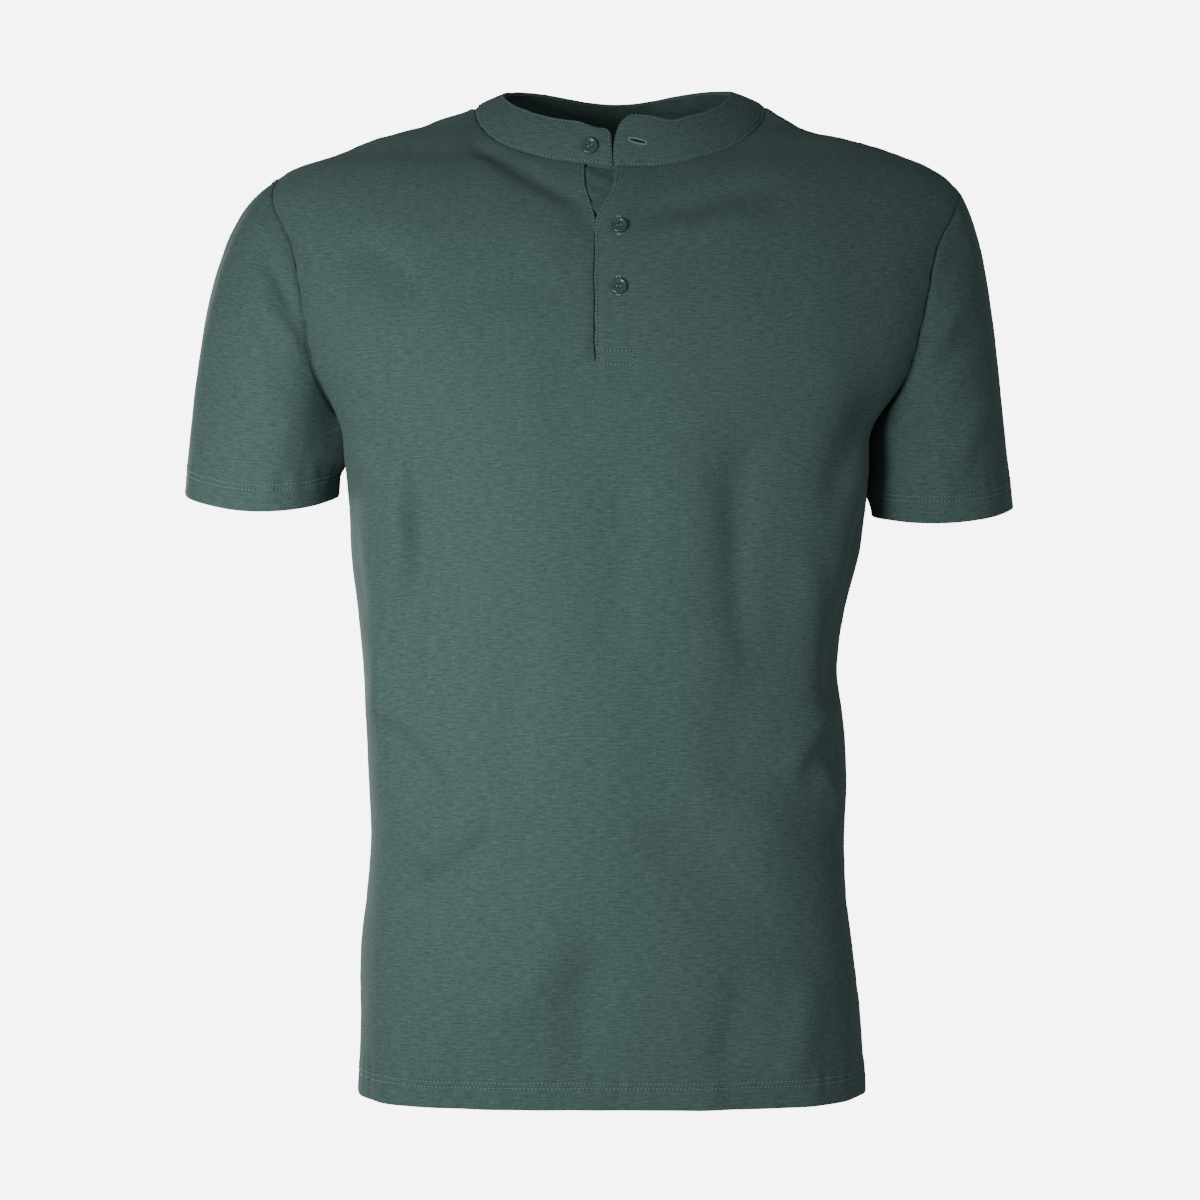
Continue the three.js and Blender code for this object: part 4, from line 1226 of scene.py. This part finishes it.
# %% [markdown]
# ## Stitches
# Each stitch is a short thread that comes up out of the cloth, lies on it and goes down again. The hems have
# two rows side by side, as a twin needle sews them. Edges of the band and the placket have one row.


# %% Rows of stitches
def surface_at(points, normals, x, z):
    """The point and normal of a grid's front part that lies at x and z in the front view."""
    flat_points, flat_normals = points.reshape(-1, 3), normals.reshape(-1, 3)
    ahead = flat_normals[:, 1] < -0.2
    flat_points, flat_normals = flat_points[ahead], flat_normals[ahead]
    found = []
    for px, pz in zip(np.atleast_1d(x), np.atleast_1d(z)):
        near = np.argmin(np.hypot(flat_points[:, 0] - px, flat_points[:, 2] - pz))
        p, n = flat_points[near], flat_normals[near]
        y = p[1] - (n[0] * (px - p[0]) + n[2] * (pz - p[2])) / n[1]
        found.append(([px, y, pz], n))
    return np.array([f[0] for f in found]), np.array([f[1] for f in found])


def sweep(centres, ups, radii, sides):
    """Tubes round many short paths at once, each closed at its ends."""
    count, steps = centres.shape[:2]
    tangents = unit(np.gradient(centres, axis=1))
    across = unit(np.cross(tangents, ups))
    ups = np.cross(across, tangents)
    turns = np.linspace(0, 2 * math.pi, sides, endpoint=False)
    ring = np.cos(turns)[:, None] * ups[:, :, None] + np.sin(turns)[:, None] * across[:, :, None]
    points = (centres[:, :, None] + ring * radii[:, None, None]).reshape(-1, 3)
    place = np.arange(count * steps * sides).reshape(count, steps, sides)
    turned = np.roll(place, -1, 2)
    faces = np.stack([place[:, :-1], place[:, 1:], turned[:, 1:], turned[:, :-1]], -1).reshape(-1, 4).tolist()
    caps = place[:, 0].tolist() + place[:, -1, ::-1].tolist()
    return points, faces + caps


def stitch_row(points, normals, length, gap, lift=0.26, sink=0.35):
    """Centres and normals of the stitches along a line on the cloth."""
    walked = np.concatenate([[0], np.cumsum(np.linalg.norm(np.diff(points, axis=0), axis=1))])
    count = int(walked[-1] // (length + gap))
    pitch = walked[-1] / max(count, 1)
    share = np.array([0, 0.16, 0.5, 0.84, 1])
    height = np.array([-sink, lift * 0.8, lift, lift * 0.8, -sink])
    place = (np.arange(count)[:, None] * pitch + gap / 2 + share * (pitch - gap)).ravel()
    centre = np.stack([np.interp(place, walked, points[:, k]) for k in range(3)], -1)
    up = unit(np.stack([np.interp(place, walked, normals[:, k]) for k in range(3)], -1))
    centre = centre + up * np.tile(height, count)[:, None]
    return centre.reshape(count, 5, 3), up.reshape(count, 5, 3)


def shade_in_needle_holes(centres, ups, radius=0.52):
    """Painted shade: a small near-black dome at the end of each stitch, for the shade down in the hole where
    the needle has parted the loops.
    """
    middle = centres[:, -1] + ups[:, -1] * 0.38
    along = unit(centres[:, -1] - centres[:, 0])
    across = np.cross(ups[:, -1], along)
    turns = np.arange(8) * math.pi / 4
    ring = np.cos(turns)[:, None] * along[:, None] + np.sin(turns)[:, None] * across[:, None]
    rims = middle[:, None] + ring * radius + ups[:, -1:] * 0.02
    points = np.concatenate([middle[:, None] + ups[:, -1:] * 0.1, rims], 1)
    place = np.arange(len(points))[:, None] * 9
    fans = [np.concatenate([place, place + 1 + k, place + 1 + (k + 1) % 8], 1) for k in range(8)]
    return points.reshape(-1, 3), np.concatenate(fans).tolist()


def add_stitches(name, lines, length, gap, radius=0.24):
    parts = [stitch_row(points, normals, length, gap) for points, normals in lines]
    centres = np.concatenate([p[0] for p in parts])
    ups = np.concatenate([p[1] for p in parts])
    points, faces = sweep(centres, ups, np.array([0.6, 1, 1, 1, 0.6]) * radius, 5)
    # Painted shade: a near-black dome over each stitch's needle hole
    shade_dots, fans = shade_in_needle_holes(centres, ups)
    add_piece(f"{name}_holes", shade_dots, fans, painted_shade)
    add_piece(name, points, faces, thread)
    print(name, len(centres), "stitches")


def hem_lines(outer, normals, from_edge):
    lines = []
    for row in HEM_ROWS:
        j = int(np.argmin(np.abs(from_edge - row)))
        lines.append((outer[j], normals[j]))
    return lines


def grid_line(points, normals, axis, distance, from_end=False):
    """The line at a distance from one edge of a grid."""
    along = distance_along(points, axis)
    if axis == 0:
        points, normals, along = points.swapaxes(0, 1), normals.swapaxes(0, 1), along.T
    if from_end:
        points, normals, along = points[:, ::-1], normals[:, ::-1], (along[:, -1:] - along)[:, ::-1]

    def at_distance(layer):
        rows = range(len(layer))
        return np.array([[np.interp(distance, along[j], layer[j, :, k]) for k in range(3)] for j in rows])

    return at_distance(points), unit(at_distance(normals))


front_hem = hem_lines(front_outer, front_normals, distance_along(front_form, 0)[:, 0])
back_hem = hem_lines(back_outer, back_normals, distance_along(back_form, 0)[:, 0])
# A hem's stitch, the gap after it and the thread's radius
HEM_STITCH = (1.9, 0.8, 0.27)
EDGE_STITCH = (2.1, 0.5)
add_stitches("hem_stitches", front_hem + back_hem, *HEM_STITCH)
for side, name in ((-1, "right_cuff_stitches"), (1, "left_cuff_stitches")):
    outer = sleeve_walls[side][0]
    normals = sleeve_forms[side][1]
    to_cuff = distance_along(sleeve_forms[side][0], 0)
    lines = hem_lines(outer, normals, (to_cuff[-1] - to_cuff)[:, 0])
    closed = [(np.concatenate([p, p[:1]]), np.concatenate([n, n[:1]])) for p, n in lines]
    add_stitches(name, closed, *HEM_STITCH)


# %% [markdown]
# Down in a sewn seam the cloth turns in, and no light gets there: in the photo the armhole seams and the
# slit's edge are fine dark lines. A deeper furrow alone would need a much finer grid, so a thin dark tube
# lies at its bottom.


# %% Shade down in the armhole seams and beside the slit
def add_shade(name, points, normals, depth, radius):
    """A dark line along the bottom of a furrow, where the cloth turns in and no light gets."""
    centres = (points - normals * depth)[None]
    tube, faces = sweep(centres, normals[None], np.full(len(points), radius), 6)
    return add_piece(name, tube, faces, painted_shade)


for side, name in ((-1, "right_armhole_shade"), (1, "left_armhole_shade")):
    form, _, w, dip = sleeve_forms[side]
    start = int(np.argmin(w))
    order = np.roll(np.arange(len(w)), -start)
    order = order[w[order] > 0.12]
    add_shade(name, form[0, order], dip[0, order], 0.55, 0.42)

lip_z = front_form[:, right_lip, 2]
slit_rows = (lip_z > SLIT["bottom"] + 2) & (lip_z < SLIT["part_from"] + 6)
slit_line = front_form[slit_rows, right_lip] - [0.25, 0, 0]
add_shade("slit_shade", slit_line, front_normals[slit_rows, right_lip], 0.75, 0.42)
print("slit shade along", int(slit_rows.sum()), "rows")

# %% [markdown]
# The band has a row of edge stitches 2 mm in from its rim and its ends, and one above its foot, and the rim's
# row shows on the inside too. The slit's turned edge has a row of its own, and a small box of stitches closes
# the slit's foot.


# %% Stitches of the band and the placket
def band_stitch_lines():
    top, top_normals = grid_line(band_face, band_normals, 0, 2, from_end=True)
    foot, foot_normals = grid_line(band_face, band_normals, 0, 2.2)
    right, right_normals = grid_line(band_face, band_normals, 1, 2)
    left, left_normals = grid_line(band_face, band_normals, 1, 2, from_end=True)
    across = distance_along(band_face, 1)
    inside = (across[-1] > 2) & (across[-1] < across[-1, -1] - 2)
    upper = distance_along(band_face, 0)
    low_right = upper[-1, 0] - upper[:, 0] > 2
    low_left = upper[-1, -1] - upper[:, -1] > 2
    within, _ = grid_line(band_inner, band_normals, 0, 2, from_end=True)
    return [
        (within[inside], -top_normals[inside]),
        (top[inside], top_normals[inside]),
        (foot[inside], foot_normals[inside]),
        (right[low_right], right_normals[low_right]),
        (left[low_left], left_normals[low_left]),
    ]


add_stitches("neckband_stitches", band_stitch_lines(), *EDGE_STITCH)


def lip_line(lip, step, distance, low, high):
    """A line beside the slit, at a distance from one of its lips."""
    if step > 0:
        points, normals = front_outer[:, lip:], front_normals[:, lip:]
        line, line_normals = grid_line(points, normals, 1, distance)
    else:
        points, normals = front_outer[:, : lip + 1], front_normals[:, : lip + 1]
        line, line_normals = grid_line(points, normals, 1, distance, from_end=True)
    kept = (line[:, 2] > low) & (line[:, 2] < high)
    return line[kept], line_normals[kept]


BOX = {"left": -9.7, "right": 14.5, "top": -181, "foot": -190.5}
corners = [("left", "top"), ("right", "top"), ("right", "foot"), ("left", "foot"), ("left", "top")]
box_x = np.concatenate([np.linspace(BOX[a[0]], BOX[b[0]], 24) for a, b in zip(corners[:-1], corners[1:])])
box_z = np.concatenate([np.linspace(BOX[a[1]], BOX[b[1]], 24) for a, b in zip(corners[:-1], corners[1:])])
box_line = surface_at(front_outer, front_normals, box_x, box_z)
placket_lines = [
    lip_line(right_lip, 1, 2.4, -181, 40),
    lip_line(left_lip, -1, 1.5, -98, 40),
    box_line,
]
add_stitches("placket_stitches", placket_lines, *EDGE_STITCH)

# %% [markdown]
# ## Buttons and buttonholes
# A button is turned from a disc of resin: a raised round rim, a shallow dish and four holes with softened
# edges. The disc is drawn flat first, as rings of points with the holes left out, and then each point is
# given its height. Two bars of thread hold each button, wound three times.

# %% Button shape
BUTTON = {"radius": 5.75, "thick": 2.4, "hole": 0.85, "spread": 1.7, "lift": 0.3}
HOLE_TURNS = [math.pi / 4 + k * math.pi / 2 for k in range(4)]
HOLE_MIDDLES = BUTTON["spread"] * np.array([[math.cos(t), math.sin(t)] for t in HOLE_TURNS])


def circle(radius, count, middle=(0, 0)):
    turn = np.arange(count) * 2 * math.pi / count
    return np.stack([middle[0] + radius * np.cos(turn), middle[1] + radius * np.sin(turn)], -1)


def button_plan():
    """Points and triangles of a disc with four holes."""
    radii = [0.5, 0.9, 2.9, 3.3, 3.7, 4.0, 4.25, 4.5, 4.8, 5.1, 5.35, 5.55, 5.68]
    loops = [circle(BUTTON["radius"], 72)] + [circle(BUTTON["hole"], 24, m) for m in HOLE_MIDDLES]
    free = [circle(r, 72 if r > 2 else 20) for r in radii]
    free += [circle(BUTTON["hole"] + r, 24, m) for m in HOLE_MIDDLES for r in (0.12, 0.26)]
    free = np.concatenate(free)
    off = np.linalg.norm(free[:, None] - HOLE_MIDDLES[None], axis=-1)
    free = free[(off > BUTTON["hole"] + 0.1).all(1)]
    edges = []
    start = 0
    for loop in loops:
        numbers = np.arange(len(loop)) + start
        edges += list(zip(numbers.tolist(), np.roll(numbers, -1).tolist()))
        start += len(loop)
    points = np.concatenate(loops + [free])
    found = delaunay_2d_cdt([Vector(p) for p in points], edges, [], 1, 1e-5)
    flat = np.array([list(p) for p in found[0]])
    faces = np.array([list(f) for f in found[2]])
    middles = flat[faces].mean(1)
    off = np.linalg.norm(middles[:, None] - HOLE_MIDDLES[None], axis=-1)
    return flat, faces[(off > BUTTON["hole"]).all(1)]


def button_height(flat):
    """Top face: round outer edge, raised rim, dish, and a softened lip at each hole."""
    r = np.linalg.norm(flat, axis=1)
    top = BUTTON["thick"] - 0.55 * smoothstep(4.75, 3.7, r)
    top -= rolled(BUTTON["radius"] - r, 0.9)
    off = np.linalg.norm(flat[:, None] - HOLE_MIDDLES[None], axis=-1).min(1) - BUTTON["hole"]
    return top - rolled(np.maximum(off, 0), 0.2)


flat, plan = button_plan()
plan_sides = np.cross(flat[plan[:, 1]] - flat[plan[:, 0]], flat[plan[:, 2]] - flat[plan[:, 0]])
plan[plan_sides < 0] = plan[plan_sides < 0][:, ::-1]
flat_count = len(flat)
top_points = np.column_stack([flat, button_height(flat)])
foot_points = np.column_stack([flat, rolled(BUTTON["radius"] - np.linalg.norm(flat, axis=1), 0.5)])
button_points = np.concatenate([top_points, foot_points])
sides = np.concatenate([plan[:, [0, 1]], plan[:, [1, 2]], plan[:, [2, 0]]])
keys = {(int(a), int(b)) for a, b in sides}
rims = [(a, b) for a, b in keys if (b, a) not in keys]
rim_faces = [[b, a, a + flat_count, b + flat_count] for a, b in rims]
button_faces = plan.tolist() + (plan[:, ::-1] + flat_count).tolist() + rim_faces
print("button:", flat_count, "points in the plan,", len(rims), "edges")


# %% Sewing the buttons on
def seat_of(x, z):
    if z > -48:
        return surface_at(band_face, band_normals, x, z)
    return surface_at(front_outer, front_normals, x, z)


def seat_turn(normal):
    """Rotation that takes the button's axis to the cloth's normal and keeps its top edge up."""
    return Vector((0, 0, 1)).rotation_difference(Vector(normal)).to_matrix()


def thread_bars():
    """Paths of the thread through the holes: two bars side by side, three strands each."""
    paths = []
    for x in (-BUTTON["spread"] * math.cos(math.pi / 4), BUTTON["spread"] * math.cos(math.pi / 4)):
        for strand in (-0.22, 0, 0.22):
            y = BUTTON["spread"] * math.sin(math.pi / 4)
            top = BUTTON["thick"] - 0.55 + 0.06 + (0.08 if strand == 0 else 0)
            reach = y + 0.1 * abs(strand)
            paths.append(
                [
                    [x + strand * 0.8, -reach, 0.2],
                    [x + strand * 0.8, -reach, top - 0.4],
                    [x + strand, -reach + 0.35, top],
                    [x + strand, 0, top + 0.05],
                    [x + strand, reach - 0.35, top],
                    [x + strand * 0.8, reach, top - 0.4],
                    [x + strand * 0.8, reach, 0.2],
                ]
            )
    return np.array(paths)


BUTTONS = [("button_1", -15, -34, 20), ("button_2", 5.2, -93.5, 8), ("button_3", 4.8, -136.5, -6)]
bars = thread_bars()
bar_ups = np.tile(np.array([1.0, 0, 0]), (*bars.shape[:2], 1))
bar_points, bar_faces = sweep(bars, bar_ups, np.full(bars.shape[1], 0.13), 7)
for name, x, z, spin in BUTTONS:
    point, normal = seat_of(x, z)
    turn = np.array(seat_turn(normal[0]))
    twist = math.radians(spin)
    own = np.array([[math.cos(twist), -math.sin(twist), 0], [math.sin(twist), math.cos(twist), 0], [0, 0, 1]])
    foot = point[0] + normal[0] * BUTTON["lift"]
    placed = own.T @ turn.T
    add_piece(f"{name}_resin", button_points @ placed + foot, button_faces, resin, name)
    add_piece(f"{name}_thread", bar_points @ placed + foot, bar_faces, thread)
print(len(BUTTONS), "buttons sewn on")

# %% [markdown]
# A buttonhole is a slot cut in the cloth, with close bars of thread all round it; each slot is drawn as a
# near-black lens of painted shade. The one on the band is empty and a little open. The other two hide under
# their buttons, and only their ends show.


# %% Buttonholes
def buttonhole(x, z, across, up, length, normals_of, name, open_by=0.5):
    """Close bars of thread round a slot: two sides and two fans at the ends."""
    half = length / 2
    centres = []
    for s in np.arange(-half, half + 0.01, 0.42):
        for side in (-1, 1):
            centres.append((s, side))
    points, normals = [], []
    for s, side in centres:
        near = 0.25 + (open_by - 0.25) * max(0, 1 - (s / half) ** 2)
        off = near + np.array([0, 0.35, 1.0, 1.25])
        found = normals_of(x + across * s - up * off * side, z + up * s + across * off * side)
        lift = np.array([-0.2, 0.22, 0.22, -0.2])
        points.append(found[0] + found[1] * lift[:, None])
        normals.append(found[1])
    for end in (-half - 0.2, half + 0.2):
        for off in np.arange(-1.2, 1.21, 0.4):
            along = end + np.array([-0.4, -0.15, 0.15, 0.4])
            found = normals_of(x + across * along - up * off, z + up * along + across * off)
            lift = np.array([-0.2, 0.25, 0.25, -0.2])
            points.append(found[0] + found[1] * lift[:, None])
            normals.append(found[1])
    # The slot itself: a near-black lens of painted shade, a little open, laid just above the cloth
    turns = np.arange(24) * math.pi / 12
    lens_x = x + across * half * np.cos(turns) - up * open_by * np.sin(turns)
    lens_z = z + up * half * np.cos(turns) + across * open_by * np.sin(turns)
    found = normals_of(lens_x, lens_z)
    add_piece(f"{name}_slot", found[0] + found[1] * 0.06, [range(24)], painted_shade)
    tube_points, faces = sweep(np.array(points), np.array(normals), np.full(4, 0.24), 6)
    add_piece(name, tube_points, faces, thread)
    print(name, len(points), "bars of thread")


def on_band(x, z):
    return surface_at(band_face, band_normals, x, z)


def on_front(x, z):
    return surface_at(front_outer, front_normals, x, z)


buttonhole(18.5, -30, 0.975, -0.22, 12, on_band, "buttonhole_1", 1.0)
buttonhole(5.2, -92.6, 0, 1, 13, on_front, "buttonhole_2")
buttonhole(4.8, -135.6, 0, 1, 13, on_front, "buttonhole_3")

# %% [markdown]

# %% [markdown]
# ## Light and camera
# The photo was taken in a pale studio with one large soft light from the left, so the right of the picture
# is in soft shade. The camera stands 2.3 m away, level with the middle of the shirt.

# %% Camera, light and floor
CAMERA_PLACE = (-0.0079, -2.3, -0.351)
CAMERA_LENS = 95.8
# How bright the studio is to the camera, and how much of its light reaches the cloth
STUDIO_SEEN = 7.5
STUDIO_LIT = 0.22
FLOOR_Z = -1.45
scene = bpy.context.scene
lens = bpy.data.cameras.new("camera")
lens.lens = CAMERA_LENS
lens.sensor_width = 36
camera = bpy.data.objects.new("camera", lens)
camera.location = CAMERA_PLACE
camera.rotation_euler = (math.radians(90), 0, 0)
scene.collection.objects.link(camera)
scene.camera = camera

world = bpy.data.worlds.new("pale studio")
world.use_nodes = True
world.node_tree.nodes.clear()
tree = world.node_tree
rays = add(tree, "ShaderNodeLightPath")
seen = add(tree, "ShaderNodeBackground", {"Color": linear("#f2f2f2"), "Strength": STUDIO_SEEN})
lit = add(tree, "ShaderNodeBackground", {"Color": linear("#f2f2f2"), "Strength": STUDIO_LIT})
either = add(
    tree,
    "ShaderNodeMixShader",
    {0: rays.outputs["Is Camera Ray"], 1: lit.outputs[0], 2: seen.outputs[0]},
)
add(tree, "ShaderNodeOutputWorld", {"Surface": either.outputs[0]})
scene.world = world

# Name, place, what it points at, width, power in watts and spread in degrees
LIGHTS = [
    ("key", (-0.72, -1.3, -0.38), (-0.25, 0, -0.4), 0.6, 4.0, 76),
    ("fill", (2.1, -1.3, -0.3), (0, 0, -0.35), 1.2, 5, 180),
    ("rear", (-1.3, 2.0, -0.2), (0, 0, -0.35), 1.2, 34, 180),
]
for name, place, target, width, power, spread in LIGHTS:
    lamp = bpy.data.lights.new(name, "AREA")
    lamp.shape = "DISK"
    lamp.size = width
    lamp.energy = power
    lamp.spread = math.radians(spread)
    obj = bpy.data.objects.new(name, lamp)
    obj.location = place
    obj.rotation_euler = (Vector(target) - Vector(place)).to_track_quat("-Z", "Y").to_euler()
    scene.collection.objects.link(obj)

paint, tree = new_material("pale studio floor")
skin = add(tree, "ShaderNodeBsdfPrincipled", {"Base Color": linear("#e6e6e6"), "Roughness": 0.8})
finish_material(tree, skin)
floor_mesh = bpy.data.meshes.new("floor")
ring = circle(3.0, 64)
floor_mesh.from_pydata([(x, y, FLOOR_Z) for x, y in ring], [], [list(range(len(ring)))])
floor_mesh.materials.append(paint)
floor = bpy.data.objects.new("floor", floor_mesh)
scene.collection.objects.link(floor)
print("lights:", [light[0] for light in LIGHTS])
